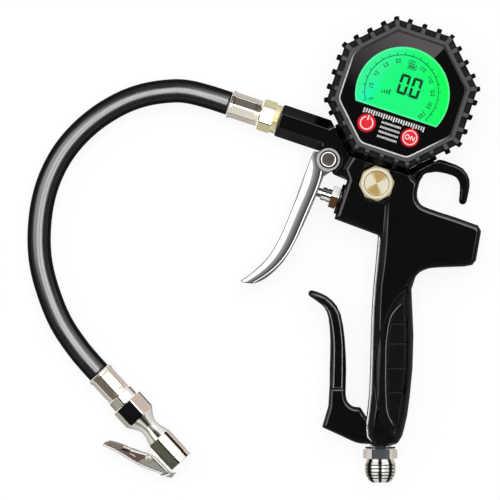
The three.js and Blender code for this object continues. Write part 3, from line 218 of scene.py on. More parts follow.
def tube(name, line, radius, around):
    """Rings round a line of points in the drawing's millimetres, each square to the line, with
    closed ends. The radius may be one for all the points or one for each."""
    ahead = np.gradient(line, axis=0)
    ahead /= np.linalg.norm(ahead, axis=1, keepdims=True)
    side = np.cross([0, 0, 1], ahead)
    side /= np.linalg.norm(side, axis=1, keepdims=True)
    up = np.cross(ahead, side)
    angle = np.arange(around)[:, None] * 2 * np.pi / around
    reach = np.broadcast_to(radius, len(line))[:, None, None]
    rings = line[:, None] + reach * (np.cos(angle) * side[:, None] + np.sin(angle) * up[:, None])
    every = (np.concatenate([rings.reshape(-1, 3), line[:1], line[-1:]]) + SHIFT) * MILLIMETRE
    return new_piece(name, every, grid_faces(len(line), around), fans(len(line), around))


def bead(name, line, radius, taper=3):
    """A thin round bead along a line, drawn out to a point over the taper's length."""
    run = np.concatenate([[0], np.cumsum(np.linalg.norm(np.diff(line, axis=0), axis=1))])
    return tube(name, line, radius * np.clip(np.minimum(run, run[-1] - run) / taper, 0.02, 1), 12)


def plates(name, place, quads, low, high):
    """Thin four-cornered plates between two heights along a place's axis. Each plate is given by
    its corners, counter-clockwise, in the plane of the side and up directions."""
    corners = np.asarray(quads, float)
    ahead = np.roll(corners, -1, 1)
    area = (corners[..., 0] * ahead[..., 1] - corners[..., 1] * ahead[..., 0]).sum(1)
    corners = np.where(area[:, None, None] < 0, corners[:, ::-1], corners)
    heights = np.broadcast_to([[low], [high]], (len(corners), 2, 1))
    levels = np.repeat(heights[:, :, None], 4, 2)
    flat = np.repeat(corners[:, None], 2, 1)
    points = np.concatenate([levels, flat], -1).reshape(-1, 3)
    sides = [[0, 1, 5, 4], [1, 2, 6, 5], [2, 3, 7, 6], [3, 0, 4, 7], [3, 2, 1, 0], [4, 5, 6, 7]]
    faces = np.array(sides)[None] + 8 * np.arange(len(corners))[:, None, None]
    piece = new_piece(name, placed(place, points), faces)
    piece.data.polygons.foreach_set("use_smooth", np.zeros(len(piece.data.polygons), bool))
    return piece


def between(inner, outer):
    """Plates between two rows of points."""
    return np.stack([inner[:-1], outer[:-1], outer[1:], inner[1:]], 1)


def moved(quads, x=0.0, y=0.0, degrees=0.0):
    """Plates turned about the origin, then moved."""
    c, s = math.cos(math.radians(degrees)), math.sin(math.radians(degrees))
    return np.asarray(quads, float) @ np.array([[c, s], [-s, c]]) + [x, y]


def block(x0, y0, x1, y1):
    """One upright plate."""
    return [[x0, y0], [x1, y0], [x1, y1], [x0, y1]]


def arc(radius, width, start, stop, steps=40):
    """A band along a circle, from one angle to another."""
    a = np.radians(np.linspace(start, stop, steps + 1))
    rim = np.stack([np.cos(a), np.sin(a)], -1)
    return between((radius - width / 2) * rim, (radius + width / 2) * rim)


SEGMENTS = {
    "0": "abcdef",
    "1": "bc",
    "2": "abged",
    "4": "fgbc",
    "6": "afgecd",
    "8": "abcdefg",
}


def figures(text, height, stroke, pitch=0.72):
    """Seven-segment figures, centred on the origin."""
    w, h, k, gap = height * 0.24, height / 2, stroke / 2, stroke * 0.12
    bars = {
        "a": [[-w + gap, h], [-w + stroke, h - stroke], [w - stroke, h - stroke], [w - gap, h]],
        "d": [[-w + gap, -h], [w - gap, -h], [w - stroke, stroke - h], [-w + stroke, stroke - h]],
        "g": block(-w + stroke, -k, w - stroke, k),
        "b": [[w, gap], [w, h - gap], [w - stroke, h - stroke], [w - stroke, stroke * 0.6]],
        "f": [[-w, gap], [-w + stroke, stroke * 0.6], [-w + stroke, h - stroke], [-w, h - gap]],
        "c": [[w, -gap], [w - stroke, -stroke * 0.6], [w - stroke, stroke - h], [w, gap - h]],
        "e": [[-w, -gap], [-w, gap - h], [-w + stroke, stroke - h], [-w + stroke, -stroke * 0.6]],
    }
    step = height * pitch
    start = -(len(text) - 1) * step / 2
    every = [[bars[bar] for bar in SEGMENTS[letter]] for letter in text]
    return np.concatenate([moved(figure, start + i * step) for i, figure in enumerate(every)])


# ------------------------------------------------------------------ materials


def new_material(name):
    """An empty material with its output, and the tree to build in."""
    material = bpy.data.materials.new(name)
    material.use_nodes = True
    material.node_tree.nodes.clear()
    return material, material.node_tree


def add_node(tree, kind, links=None, **values):
    """One shader node: values set its sockets or properties, links join its sockets."""
    node = tree.nodes.new(kind)
    for key, value in values.items():
        if hasattr(node, key) and key not in node.inputs:
            setattr(node, key, value)
        else:
            node.inputs[key.replace("_", " ")].default_value = value
    for key, source in (links or {}).items():
        if isinstance(source, (int, float)):
            node.inputs[key].default_value = source
        else:
            tree.links.new(source, node.inputs[key])
    return node


def maths(tree, operation, first, second=0.0, third=0.0):
    """One sum on numbers or sockets."""
    node = add_node(tree, "ShaderNodeMath", {0: first, 1: second, 2: third}, operation=operation)
    return node.outputs[0]


def spread(tree, factor, low, high, start=0.3, stop=0.7, smooth=False):
    """Carries the factor's range from start to stop onto low to high."""
    node = add_node(tree, "ShaderNodeMapRange", {"Value": factor})
    node.interpolation_type = "SMOOTHSTEP" if smooth else "LINEAR"
    for key, value in zip(("From Min", "From Max", "To Min", "To Max"), (start, stop, low, high)):
        node.inputs[key].default_value = value
    return node.outputs[0]


def blend_colours(tree, factor, first, second):
    """A colour between two, by the factor. Either may be a socket."""
    node = tree.nodes.new("ShaderNodeMix")
    node.data_type = "RGBA"
    for index, colour in ((6, first), (7, second)):
        if isinstance(colour, bpy.types.NodeSocket):
            tree.links.new(colour, node.inputs[index])
        else:
            node.inputs[index].default_value = (*colour[:3], 1)
    tree.links.new(factor, node.inputs[0])
    return node.outputs[2]


def ramp(tree, factor, stops, kind="LINEAR"):
    """Carries the factor through stops, each a (position, colour) pair."""
    node = add_node(tree, "ShaderNodeValToRGB", {"Fac": factor})
    node.color_ramp.interpolation = kind
    elements = node.color_ramp.elements
    elements.remove(elements[1])
    elements[0].position, elements[0].color = stops[0][0], (*stops[0][1], 1)
    for position, colour in stops[1:]:
        elements.new(position).color = (*colour, 1)
    return node.outputs[0]


def shade(tree, colour, rough, metal=0.0, normal=None, links=None, **values):
    """The surface shader and the output. Numbers that are the same all over are set on it."""
    shader = add_node(
        tree,
        "ShaderNodeBsdfPrincipled",
        links,
        Base_Color=(*colour[:3], 1),
        Roughness=rough,
        Metallic=metal,
    )
    for key, value in values.items():
        shader.inputs[key.replace("_", " ")].default_value = value
    if normal is not None:
        tree.links.new(normal, shader.inputs["Normal"])
    add_node(tree, "ShaderNodeOutputMaterial", {"Surface": shader.outputs[0]})
    return shader


def local_axes(tree, place):
    """Millimetres along a place's side and up directions, from object coordinates."""
    spot = add_node(tree, "ShaderNodeTexCoord").outputs["Object"]
    axes = []
    for axis in (place[2], place[3]):
        dot = add_node(tree, "ShaderNodeVectorMath", {0: spot}, operation="DOT_PRODUCT")
        dot.inputs[1].default_value = (axis / MILLIMETRE).tolist()
        start = float((place[0] + SHIFT) @ axis)
        axes.append(maths(tree, "SUBTRACT", dot.outputs["Value"], start))
    return axes


def away(tree, axes, x, y):
    """Distance in the plane of two axes from a point, in millimetres."""
    wide, high = (maths(tree, "SUBTRACT", axis, at) for axis, at in zip(axes, (x, y)))
    squares = [maths(tree, "MULTIPLY", side, side) for side in (wide, high)]
    return maths(tree, "SQRT", maths(tree, "ADD", *squares))


def height_of(tree):
    """Height above the surface it lies on, in millimetres."""
    spot = add_node(tree, "ShaderNodeTexCoord").outputs["Object"]
    split = add_node(tree, "ShaderNodeSeparateXYZ", {0: spot})
    return maths(tree, "DIVIDE", split.outputs["Z"], MILLIMETRE)


def noise(tree, scale, detail=2.0, stretch=None, turn=0.0):
    """Noise on object coordinates, cells per metre, stretched along a turned direction if asked."""
    place = add_node(tree, "ShaderNodeTexCoord").outputs["Object"]
    if stretch is not None:
        mapping = add_node(tree, "ShaderNodeMapping", {"Vector": place})
        mapping.vector_type = "TEXTURE"
        mapping.inputs["Rotation"].default_value = (0, 0, math.radians(turn))
        mapping.inputs["Scale"].default_value = stretch
        place = mapping.outputs[0]
    texture = add_node(tree, "ShaderNodeTexNoise", {"Vector": place}, Scale=scale, Detail=detail)
    return texture.outputs["Fac"]


def bump(tree, height, depth, normal=None):
    """A bump whose height of one stands for the depth in millimetres."""
    node = add_node(tree, "ShaderNodeBump", {"Height": height}, Strength=1.0)
    node.inputs["Distance"].default_value = depth * MILLIMETRE
    if normal is not None:
        tree.links.new(normal, node.inputs["Normal"])
    return node.outputs[0]


def vectors(tree, operation, links):
    """One sum on vectors or sockets: its node's outputs."""
    return add_node(tree, "ShaderNodeVectorMath", links, operation=operation).outputs


def facing_up(tree):
    """How far a face looks up: the height of its normal."""
    normal = add_node(tree, "ShaderNodeNewGeometry").outputs["Normal"]
    return add_node(tree, "ShaderNodeSeparateXYZ", {0: normal}).outputs["Z"]


def leaning(tree, degrees, amount):
    """The normal of a face that looks up, leaned towards a direction by an amount."""
    angle = math.radians(degrees)
    towards = add_node(tree, "ShaderNodeVectorTransform")
    towards.vector_type = "VECTOR"
    towards.convert_from, towards.convert_to = "OBJECT", "WORLD"
    towards.inputs[0].default_value = (math.cos(angle), math.sin(angle), 0)
    normal = add_node(tree, "ShaderNodeNewGeometry").outputs["Normal"]
    lean = vectors(tree, "SCALE", {0: towards.outputs[0], "Scale": amount})[0]
    return vectors(tree, "NORMALIZE", {0: vectors(tree, "ADD", {0: normal, 1: lean})[0]})[0]


def off_level(tree, degrees=262, amount=0.42):
    """The normal of a piece whose flat tops are ground a little off level."""
    flat = spread(tree, facing_up(tree), 0, amount, 0.97, 0.998, True)
    return leaning(tree, degrees, flat)


def painted(name, colour, rough, peel=0.02, **values):
    """Stoved paint: a faint mottle in colour and gloss, and the ripple of orange peel."""
    material, tree = new_material(name)
    mottle = noise(tree, 90, 3)
    tint = blend_colours(tree, mottle, [c * 0.75 for c in colour], [c * 1.3 for c in colour])
    gloss = spread(tree, mottle, rough * 0.8, rough * 1.25)
    shade(
        tree,
        colour,
        rough,
        normal=bump(tree, noise(tree, 700, 2), peel, off_level(tree)),
        links={"Base Color": tint, "Roughness": gloss},
        **values,
    )
    return material


def rubbery(name, colour, rough, grain=1600, depth=0.03, level=True, **values):
    """Moulded rubber: a fine grain, a cloudy dullness and a slightly dusty colour."""
    material, tree = new_material(name)
    cloud = noise(tree, 120, 4)
    tint = blend_colours(tree, cloud, [c * 0.8 for c in colour], [c * 1.25 for c in colour])
    shade(
        tree,
        colour,
        rough,
        normal=bump(tree, noise(tree, grain, 3), depth, off_level(tree) if level else None),
        links={
            "Base Color": tint,
            "Roughness": spread(tree, cloud, rough * 0.85, min(rough * 1.15, 1)),
        },
        **values,
    )
    return material


def plated(name, colour, rough, turn=0.0, lines=0.004, grain=(30, 0.6, 0.6), metal=0.95):
    """Bright metal: fine tool lines round the work, a little cloud in the gloss and the tint."""
    material, tree = new_material(name)
    cloud = noise(tree, 160, 3)
    fine = noise(tree, 1, 4, [g * MILLIMETRE for g in grain], turn)
    shade(
        tree,
        colour,
        rough,
        metal=metal,
        normal=bump(tree, fine, lines),
        links={
            "Base Color": blend_colours(tree, cloud, [c * 0.94 for c in colour], colour),
            "Roughness": spread(tree, cloud, rough * 0.8, rough * 1.3),
        },
    )
    return material


def painted_reflections(name, place, bands, rough=0.12, soft=False):
    """Polished metal with painted reflections: bands of colour round an axis stand in for its
    reflections, and the same colour glows a little. Bands are (from, colour) pairs; the angle
    is measured from straight up, and positive towards the place's side direction."""
    material, tree = new_material(name)
    side, up = local_axes(tree, place)
    angle = maths(tree, "ARCTAN2", side, up)
    share = maths(tree, "MULTIPLY_ADD", angle, 1 / (2 * math.pi), 0.5)
    stops = [(0.0, bands[-1][1]), *[((degrees + 180) / 360, colour) for degrees, colour in bands]]
    reflection_colour = ramp(tree, share, stops, "EASE" if soft else "CONSTANT")
    cloud = noise(tree, 200, 3)
    shade(
        tree,
        bands[0][1],
        rough,
        metal=0.5,
        normal=bump(tree, noise(tree, 600, 2), 0.004),
        links={
            "Base Color": reflection_colour,
            "Roughness": spread(tree, cloud, rough * 0.8, rough * 1.3),
            "Emission Color": reflection_colour,
        },
        Emission_Strength=0.28,
    )
    return material


def middles(piece, place):
    """The middles of a piece's faces, as millimetres along, to the side and up of a place."""
    centres = np.empty(len(piece.data.polygons) * 3, np.float32)
    piece.data.polygons.foreach_get("center", centres)
    return (centres.reshape(-1, 3) / MILLIMETRE - (place[0] + SHIFT)) @ place[1:].T


def parted(piece, choice, *materials):
    """Further materials, and the number of its own for every face."""
    for material in materials:
        piece.data.materials.append(material)
    piece.data.polygons.foreach_set("material_index", choice.astype(np.int32))


def striped(piece, place, stations, *materials):
    """Further materials for the faces that lie beyond each station along the place's axis."""
    parted(piece, np.searchsorted(stations, middles(piece, place)[:, 0]), *materials)


def glowing(name, colour, strength=1.0):
    """A lit, printed or plain glowing surface with a faint cloud in its glow."""
    material, tree = new_material(name)
    cloud = noise(tree, 150, 2)
    tint = blend_colours(tree, cloud, [c * 0.96 for c in colour], colour)
    shade(
        tree,
        (0.01, 0.01, 0.01),
        0.4,
        links={"Emission Color": tint},
        Emission_Strength=strength,
        Specular_IOR_Level=0.05,
    )
    return material


# ------------------------------------------------------------------ measures and tones


# The handle's middle, height and width, its depth, and how high its own middle lies.
HANDLE = np.array(
    [
        [2.6, 19.4, 13.5],
        [2, 23, 18],
        [2.2, 28, 19.6],
        [3.5, 35, 20.2],
        [4.6, 44, 20.5],
        [5.55, 58, 21.3],
        [5.95, 74, 21.4],
        [5.9, 88, 20.3],
        [6.1, 98, 19.2],
        [8.2, 108, 21.4],
        [9.4, 120, 21.6],
        [9.6, 130, 20.6],
        [9.6, 141, 18],
    ]
)
HANDLE_DEPTH, HANDLE_MIDDLE = 25.8, 12.5
# An octagon's apothem over the reach of its corners.
EIGHTH = math.cos(math.pi / 8)
# Beads of painted highlight along the finger guard and on the grip: x, y.
GUARD_HIGHLIGHTS = {
    "guard_highlight_front": [(-29, 89.8), (-25.8, 85.8), (-23.4, 74), (-23.2, 56), (-23.8, 43)],
    "guard_highlight_rear": [(-25.6, 90.2), (-22, 86.2), (-19.4, 72), (-19.2, 56), (-19.4, 43)],
}
GRIP_HIGHLIGHT = [(11.2, 90.4), (5.6, 84), (3.0, 72), (2.5, 58), (2.6, 45), (3.6, 34.5), (6.8, 28.2)]
GUARD_TOP, GRIP_TOP = 20.25, 24.95
# The lever's middle line over its length: x, y.
LEVER_LINE = [(-33.4, 153.2), (-36.9, 143.7), (-40.4, 135), (-44.3, 126.2), (-48.1, 118.4),
              (-52.7, 111.4), (-58.7, 105.5), (-64, 102)]
# The clip's outer edge, along the chuck and away from its axis.
CLIP_EDGE = np.array(
    [[27.8, 23.0], [33, 20.8], [38, 19.2], [44, 17.5], [50, 15.2], [54, 13.2], [58.4, 11.0]]
)
CLIP_CHEEK = 4.5
# The buttons' middles in the gauge's plane, and the levels that are printed on.
BUTTONS = ((-12.4, -19.3), (10.4, -19.5))
DISPLAY_TOP, FACE_TOP, BUTTON_TOP = 31.15, 33.2, 34.1

# Tones of the painted reflections on the metal fittings, and of the clip's painted highlights.
WHITE = (0.95, 0.94, 0.90)
CREAM = (0.92, 0.88, 0.76)
PINK = (0.86, 0.75, 0.69)
BEIGE = (0.78, 0.73, 0.64)
GREY = (0.22, 0.22, 0.20)
TAUPE = (0.11, 0.09, 0.07)
INK = (0.035, 0.042, 0.05)
BLACK = (0.006, 0.006, 0.006)


# ------------------------------------------------------------------ dressing


def dress(piece, material):
    """The material alone on a piece or CAD node."""
    piece.data.materials.clear()
    piece.data.materials.append(material)


def dress_nodes(names, material, width=0.1):
    """The material on several CAD nodes, their edges broken."""
    for name in names.split():
        dress(broken_edges(name, width), material)


def broken_edges(node, width, segments=3, angle=28):
    """A CAD node with its edges broken: coplanar triangles joined, sharp edges rounded."""
    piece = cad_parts[node]
    weld = piece.modifiers.new("weld", "WELD")
    weld.merge_threshold = 0.00001
    plane = piece.modifiers.new("planes", "DECIMATE")
    plane.decimate_type = "DISSOLVE"
    plane.angle_limit = math.radians(0.6)
    bevel = piece.modifiers.new("edges", "BEVEL")
    bevel.limit_method = "ANGLE"
    bevel.angle_limit = math.radians(angle)
    bevel.width = width * MILLIMETRE
    bevel.segments = segments
    bevel.use_clamp_overlap = False
    normals = piece.modifiers.new("normals", "WEIGHTED_NORMAL")
    normals.weight = 100
    piece.data.polygons.foreach_set("use_smooth", np.ones(len(piece.data.polygons), bool))
    return piece


def stands_for(piece, material, slot, *nodes, body="gun"):
    """The piece takes the place of CAD nodes, with its material and body. Its slot is not used."""
    dress(piece, material)
    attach(piece, body)
    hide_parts(*nodes)
    return piece


def marked(piece, material, body="gun"):
    """A print, a bead or plate of painted light or shade, or a small added piece that goes with a
    body.
    """
    dress(piece, material)
    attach(piece, body)
    return piece


def printed(name, quads, level, material, body="gun", thick=0.05):
    """A print on a level of the gauge."""
    return marked(plates(name, GAUGE, quads, level, level + thick), material, body)


def rounded(shape, radius=0.2, step=0.3):
    """A ring's section with its corners rounded."""
    return dense(softened(shape, radius, 3, closed=True), step)


def fitting(name, place, section, press, around, material, slot, node):
    """A turned ring in the place of a CAD node."""
    piece = turned(name, place, section, press, around, ring=True)
    return stands_for(piece, material, slot, node)


def ferrule_section(near, far, radius=6.6, flare=7.0):
    """A crimped shell's section: a rolled lip at its near end and a flare over the hose."""
    long = abs(far - near)
    shape = [[0, 3.2], [0, radius - 0.6], [0.5, radius], [1.2, radius], [1.5, radius - 0.35]]
    shape += [[1.9, radius - 0.35], [2.3, radius], [long - 2.2, radius], [long - 1.2, flare]]
    shape += [[long - 0.3, flare], [long, flare - 0.5], [long, 3.2]]
    section = rounded(shape)
    way = 1 if far > near else -1
    section[:, 0] = near + way * section[:, 0]
    return section[::way]


def crimp(start, stop, across, count=8, turn=22.5, soft=0.5):
    """A press that squeezes a round piece to flats between two places along it."""

    def press(along, radius, angle):
        t = np.clip(np.minimum(along - start, stop - along) / soft, 0, 1)
        t = t * t * (3 - 2 * t)
        pressed = np.minimum(radius, flats(angle, count, across, turn))
        return radius + t * (pressed - radius)

    return press


# ------------------------------------------------------------------ operators


class INFLATOR_OT_stage(bpy.types.Operator):
    """Camera, pale floor and studio surround"""

    bl_idname = "inflator.stage"
    bl_label = "Stage"

    def camera(self, scene):
        """A far camera straight above, that covers a quarter of a metre."""
        data = bpy.data.cameras.new("camera")
        camera = bpy.data.objects.new("camera", data)
        scene.collection.objects.link(camera)
        centre = (np.array([-65.25, 116.5, 20.0]) + SHIFT) * MILLIMETRE
        distance, covers = 4.5, 0.25
        camera.location = (centre[0], centre[1], centre[2] + distance)
        data.sensor_width = 36
        data.lens = data.sensor_width * distance / covers
        data.clip_end = 20
        scene.camera = camera

    def floor(self):
        """A white floor just below the piece, that glows towards the camera and keeps shadows."""
        side, below = 6.0, 0.0004
        corners = [[*corner, -below] for corner in block(-side, -side, side, side)]
        floor = new_piece("floor", corners, [[0, 1, 2, 3]])
        material, tree = new_material("floor_white")
        path = add_node(tree, "ShaderNodeLightPath").outputs
        seen = maths(tree, "MAXIMUM", path["Is Camera Ray"], path["Is Transmission Ray"])
        share = maths(tree, "MULTIPLY", seen, 0.88)
        glow = add_node(tree, "ShaderNodeEmission", {"Strength": share})
        lit = add_node(tree, "ShaderNodeBsdfDiffuse")
        lit.inputs["Color"].default_value = (0.13, 0.127, 0.124, 1)
        both = add_node(tree, "ShaderNodeAddShader", {0: glow.outputs[0], 1: lit.outputs[0]})
        add_node(tree, "ShaderNodeOutputMaterial", {"Surface": both.outputs[0]})
        dress(floor, material)

    def surround(self, scene):
        """Rooms of light by direction: a warm low wall, soft lamps overhead and a dark zenith."""
        world = bpy.data.worlds.new("studio")
        scene.world = world
        world.use_nodes = True
        tree = world.node_tree
        tree.nodes.clear()
        spot = add_node(tree, "ShaderNodeTexCoord").outputs["Generated"]
        high = add_node(tree, "ShaderNodeSeparateXYZ", {0: spot}).outputs["Z"]
        wall = [(0.0, (0.25, 0.23, 0.21)), (0.2, (0.22, 0.20, 0.18)), (0.42, (0.11, 0.10, 0.09))]
        wall += [(0.68, (0.05, 0.048, 0.045)), (1.0, (0.09, 0.09, 0.09))]
        light = ramp(tree, high, wall)
        # Lamps: direction, angle of the full light, angle of its end, and level.
        for centre, inner, outer, level in (
            ((0.05, 0.09, 1.0), 22, 30, 3.8),
            ((0.35, 0.61, 0.71), 14, 26, 0.9),
            ((-0.66, 0.24, 0.71), 14, 25, 1.7),
            ((0.74, 0.67, 0.0), 18, 34, 0.45),
        ):
            dot = add_node(tree, "ShaderNodeVectorMath", {0: spot}, operation="DOT_PRODUCT")
            dot.inputs[1].default_value = (np.array(centre) / np.linalg.norm(centre)).tolist()
            start, stop = np.cos(np.radians([outer, inner])).tolist()
            cap = spread(tree, dot.outputs["Value"], 0, level, start, stop, True)
            light = vectors(tree, "ADD", {0: light, 1: cap})[0]
        start, stop = np.cos(np.radians([7, 5])).tolist()
        hole = spread(tree, high, 1, 0.25, start, stop, True)
        light = vectors(tree, "SCALE", {0: light, "Scale": hole})[0]
        surround = add_node(tree, "ShaderNodeBackground", {"Color": light})
        white = add_node(tree, "ShaderNodeBackground")
        white.inputs["Color"].default_value = (1, 1, 1, 1)
        path = add_node(tree, "ShaderNodeLightPath").outputs
        both = {0: path["Is Camera Ray"], 1: surround.outputs[0], 2: white.outputs[0]}
        mix = add_node(tree, "ShaderNodeMixShader", both)
        add_node(tree, "ShaderNodeOutputWorld", {"Surface": mix.outputs[0]})

    def execute(self, context):
        scene = context.scene
        scene.view_settings.view_transform = "Standard"
        self.camera(scene)
        self.floor()
        self.surround(scene)
        return {"FINISHED"}


class INFLATOR_OT_body(bpy.types.Operator):
    """The black casting, beads of painted highlight along its edges and a dark sheet of painted
    shade under the boot
    """

    bl_idname = "inflator.body"
    bl_label = "Body"

    def execute(self, context):
        colours = context.scene.inflator_colours
        black = painted("body_black", colours.body, 0.13, 0.012, Specular_IOR_Level=0.75)
        dress_nodes("gun_body", black, 0.4)
        # The handle's section is a superellipse; a light grey bead 0.7 mm in from its left edge is
        # a painted highlight along it.
        height, squareness = np.linspace(20.5, 139.5, 240), 3.6
        middle = np.interp(height, HANDLE[:, 1], HANDLE[:, 0])
        half = np.interp(height, HANDLE[:, 1], HANDLE[:, 2]) / 2
        inset = half - 0.7
        rise = HANDLE_DEPTH / 2 * (1 - (inset / half) ** squareness) ** (1 / squareness)
        painted_lighting = painted("handle_highlight_paint", (0.8, 0.8, 0.8), 0.35, 0.01)
        highlight_line = np.stack([middle - inset, height, HANDLE_MIDDLE + rise], -1)
        marked(bead("handle_highlight_bead", highlight_line, 0.42), painted_lighting)
        # Grey beads along the finger guard paint its edge highlights.
        guard_highlight_material = painted("guard_highlight_paint", (0.3, 0.3, 0.3), 0.35, 0.01)
        for name, line in GUARD_HIGHLIGHTS.items():
            points = through([[x, y, GUARD_TOP] for x, y in line], 0.5)[0]
            marked(bead(name, points, 0.24), guard_highlight_material)
        # A near-black sheet of painted shade fills the gap between the boot and the gun: it follows
        # the boot's octagon on the gun's side, halfway along its outer flats.
        inner, outer, low, high = 34.86, 37.2, 5.93, 6.15
        turns = np.radians([202.5, 247.5, 292.5, 337.5])
        rim = np.stack([np.cos(turns), np.sin(turns)], -1) / EIGHTH
        rim[[0, 3]] = (rim[[0, 3]] + rim[[1, 2]]) / 2
        seals_and_gap_shade = plates("boot_gap_shade", GAUGE, between(inner * rim, outer * rim), low, high)
        marked(seals_and_gap_shade, rubbery("boot_gap_shade", (0.003, 0.003, 0.003), 0.6))
        return {"FINISHED"}


class INFLATOR_OT_grips(bpy.types.Operator):
    """The two rubber grip panels and a bead of painted highlight on the front one"""

    bl_idname = "inflator.grips"
    bl_label = "Grip panels"

    def execute(self, context):
        colours = context.scene.inflator_colours
        grip = rubbery("grip_black", colours.grip, 0.26, 1500, 0.02)
        dress_nodes("grip_insert_front grip_insert_back", grip, 0.25)
        # A grey bead along the front panel's rail is its painted highlight.
        line = through([[x, y, GRIP_TOP] for x, y in GRIP_HIGHLIGHT], 0.5)[0]
        marked(bead("grip_rail_highlight", line, 0.22), painted("grip_highlight_paint", (0.22, 0.22, 0.22), 0.35, 0.01))
        return {"FINISHED"}


class INFLATOR_OT_inlet(bpy.types.Operator):
    """The air inlet at the handle's foot, with its washer"""

    bl_idname = "inflator.inlet"
    bl_label = "Air inlet"

    def execute(self, context):
        # Painted reflections: bands of colour round the axis on the nickel and on the threads.
        nickel = painted_reflections(
            "inlet_nickel",
            INLET,
            [(-180, BEIGE), (-88, PINK), (-62, WHITE), (-31, BLACK), (-27, INK),
             (27, BLACK), (31, WHITE), (50, PINK), (90, BEIGE)],
        )
        thread = painted_reflections(
            "inlet_thread",
            INLET,
            [(-180, BEIGE), (-70, BEIGE), (-52, BLACK), (-40, BLACK), (-33, WHITE), (-12, WHITE),
             (-6, BLACK), (3, BLACK), (9, WHITE), (30, WHITE), (36, BLACK), (46, BLACK),
             (56, BEIGE), (90, BEIGE)],
            soft=True,
        )
        # The grooves between the threads, the hexagon's section, and the line of the crests.
        rings = np.array([9.4, 11.2, 12.95, 14.55, 16.05])
        shape = [[-12, 2.6], [-12, 5], [1.4, 5], [1.4, 7.8], [1.9, 8.6], [5.7, 8.6], [6.2, 7.8]]
        shape += [[6.25, 6.5], [7.6, 6.9]]
        hull = [5.7, 9.2, 12.7, 14.5, 16.7, 18.1], [6.85, 7.75, 7.75, 7.3, 6.15, 4.5]
        for ring, lip in zip(rings, np.interp(rings, *hull)):
            shape += [[ring - 0.45, lip], [ring, lip - 0.7], [ring + 0.3, lip - 0.05]]
        shape += [[17.6, 5.1], [18.1, 4.3], [18.1, 2.9], [17.8, 2.6]]
        hexagon = crimp(1.2, 6.24, 15, 6, 90, 0.05)
        piece = fitting(
            "inlet_fitting", INLET, rounded(shape), hexagon, 168, nickel, "nickel", "inlet_nipple"
        )
        # The grooves between the threads are painted almost black, a painted shade.
        groove_shade = plated("inlet_groove", (0.02, 0.02, 0.02), 0.3, metal=0.2)
        stations = [6.3, *np.stack([rings - 0.3, rings + 0.2], -1).ravel()]
        striped(piece, INLET, stations, thread, *[groove_shade, thread] * len(rings))
        seals_and_gap_shade = rubbery("seal_rubber", (0.012, 0.012, 0.012), 0.6)
        dress_nodes("inlet_washer plug_washer stem_seal_ring chuck_seal", seals_and_gap_shade)
        return {"FINISHED"}


class INFLATOR_OT_plug(bpy.types.Operator):
    """The brass plug in the side of the valve block"""

    bl_idname = "inflator.plug"
    bl_label = "Brass plug"

    def execute(self, context):
        colours = context.scene.inflator_colours
        # Painted reflections on the brass: a turned disc with two amber wedges and cream between
        # them, a cream octagon round it, a dark painted shade in the groove round the disc, and
        # darker chamfered corners.
        disc_edge, groove_at, rim_at = 5.85, 6.15, 7.6
        material, tree = new_material("brass_plug_reflections")
        axes = local_axes(tree, PLUG)
        wide, high = (maths(tree, "ABSOLUTE", axis) for axis in axes)
        out = away(tree, axes, 0, 0)
        share = maths(tree, "DIVIDE", maths(tree, "SUBTRACT", high, wide), out)
        amber_reflection = spread(tree, share, 0, 1, -0.35, 0.5, True)
        disc_reflection = blend_colours(tree, amber_reflection, (1.0, 0.96, 0.74), (0.64, 0.44, 0.15))
        inside = spread(tree, out, 1, 0, disc_edge - 0.1, disc_edge + 0.1)
        colour = blend_colours(tree, inside, (1.0, 0.96, 0.80), disc_reflection)
        groove_shade = maths(tree, "COMPARE", out, groove_at, 0.2)
        colour = blend_colours(tree, groove_shade, colour, (0.30, 0.17, 0.04))
        outer = spread(tree, out, 0, 1, rim_at - 0.3, rim_at + 0.3)
        colour = blend_colours(tree, outer, colour, (0.62, 0.53, 0.30))
        cloud = noise(tree, 300, 3)
        shade(
            tree,
            colours.brass,
            0.2,
            metal=0.1,
            normal=bump(tree, noise(tree, 900, 2), 0.004, off_level(tree)),
            links={"Base Color": colour, "Roughness": spread(tree, cloud, 0.16, 0.26)},
        )
        shape = [[6, 0], [6, 4.7], [11.4, 4.7], [11.4, 8.4], [11.8, 8.95], [14.9, 8.95]]
        shape += [[16, 7.6], [16, 6.05], [15.5, 5.8], [15.95, 0]]
        octagon = crimp(11.3, 17, 16.54, 8, 0, 0.05)
        piece = turned("plug_head", PLUG, dense(softened(shape, 0.25, 4)), octagon, 160)
        stands_for(piece, material, "brass", "passage_plug")
        return {"FINISHED"}


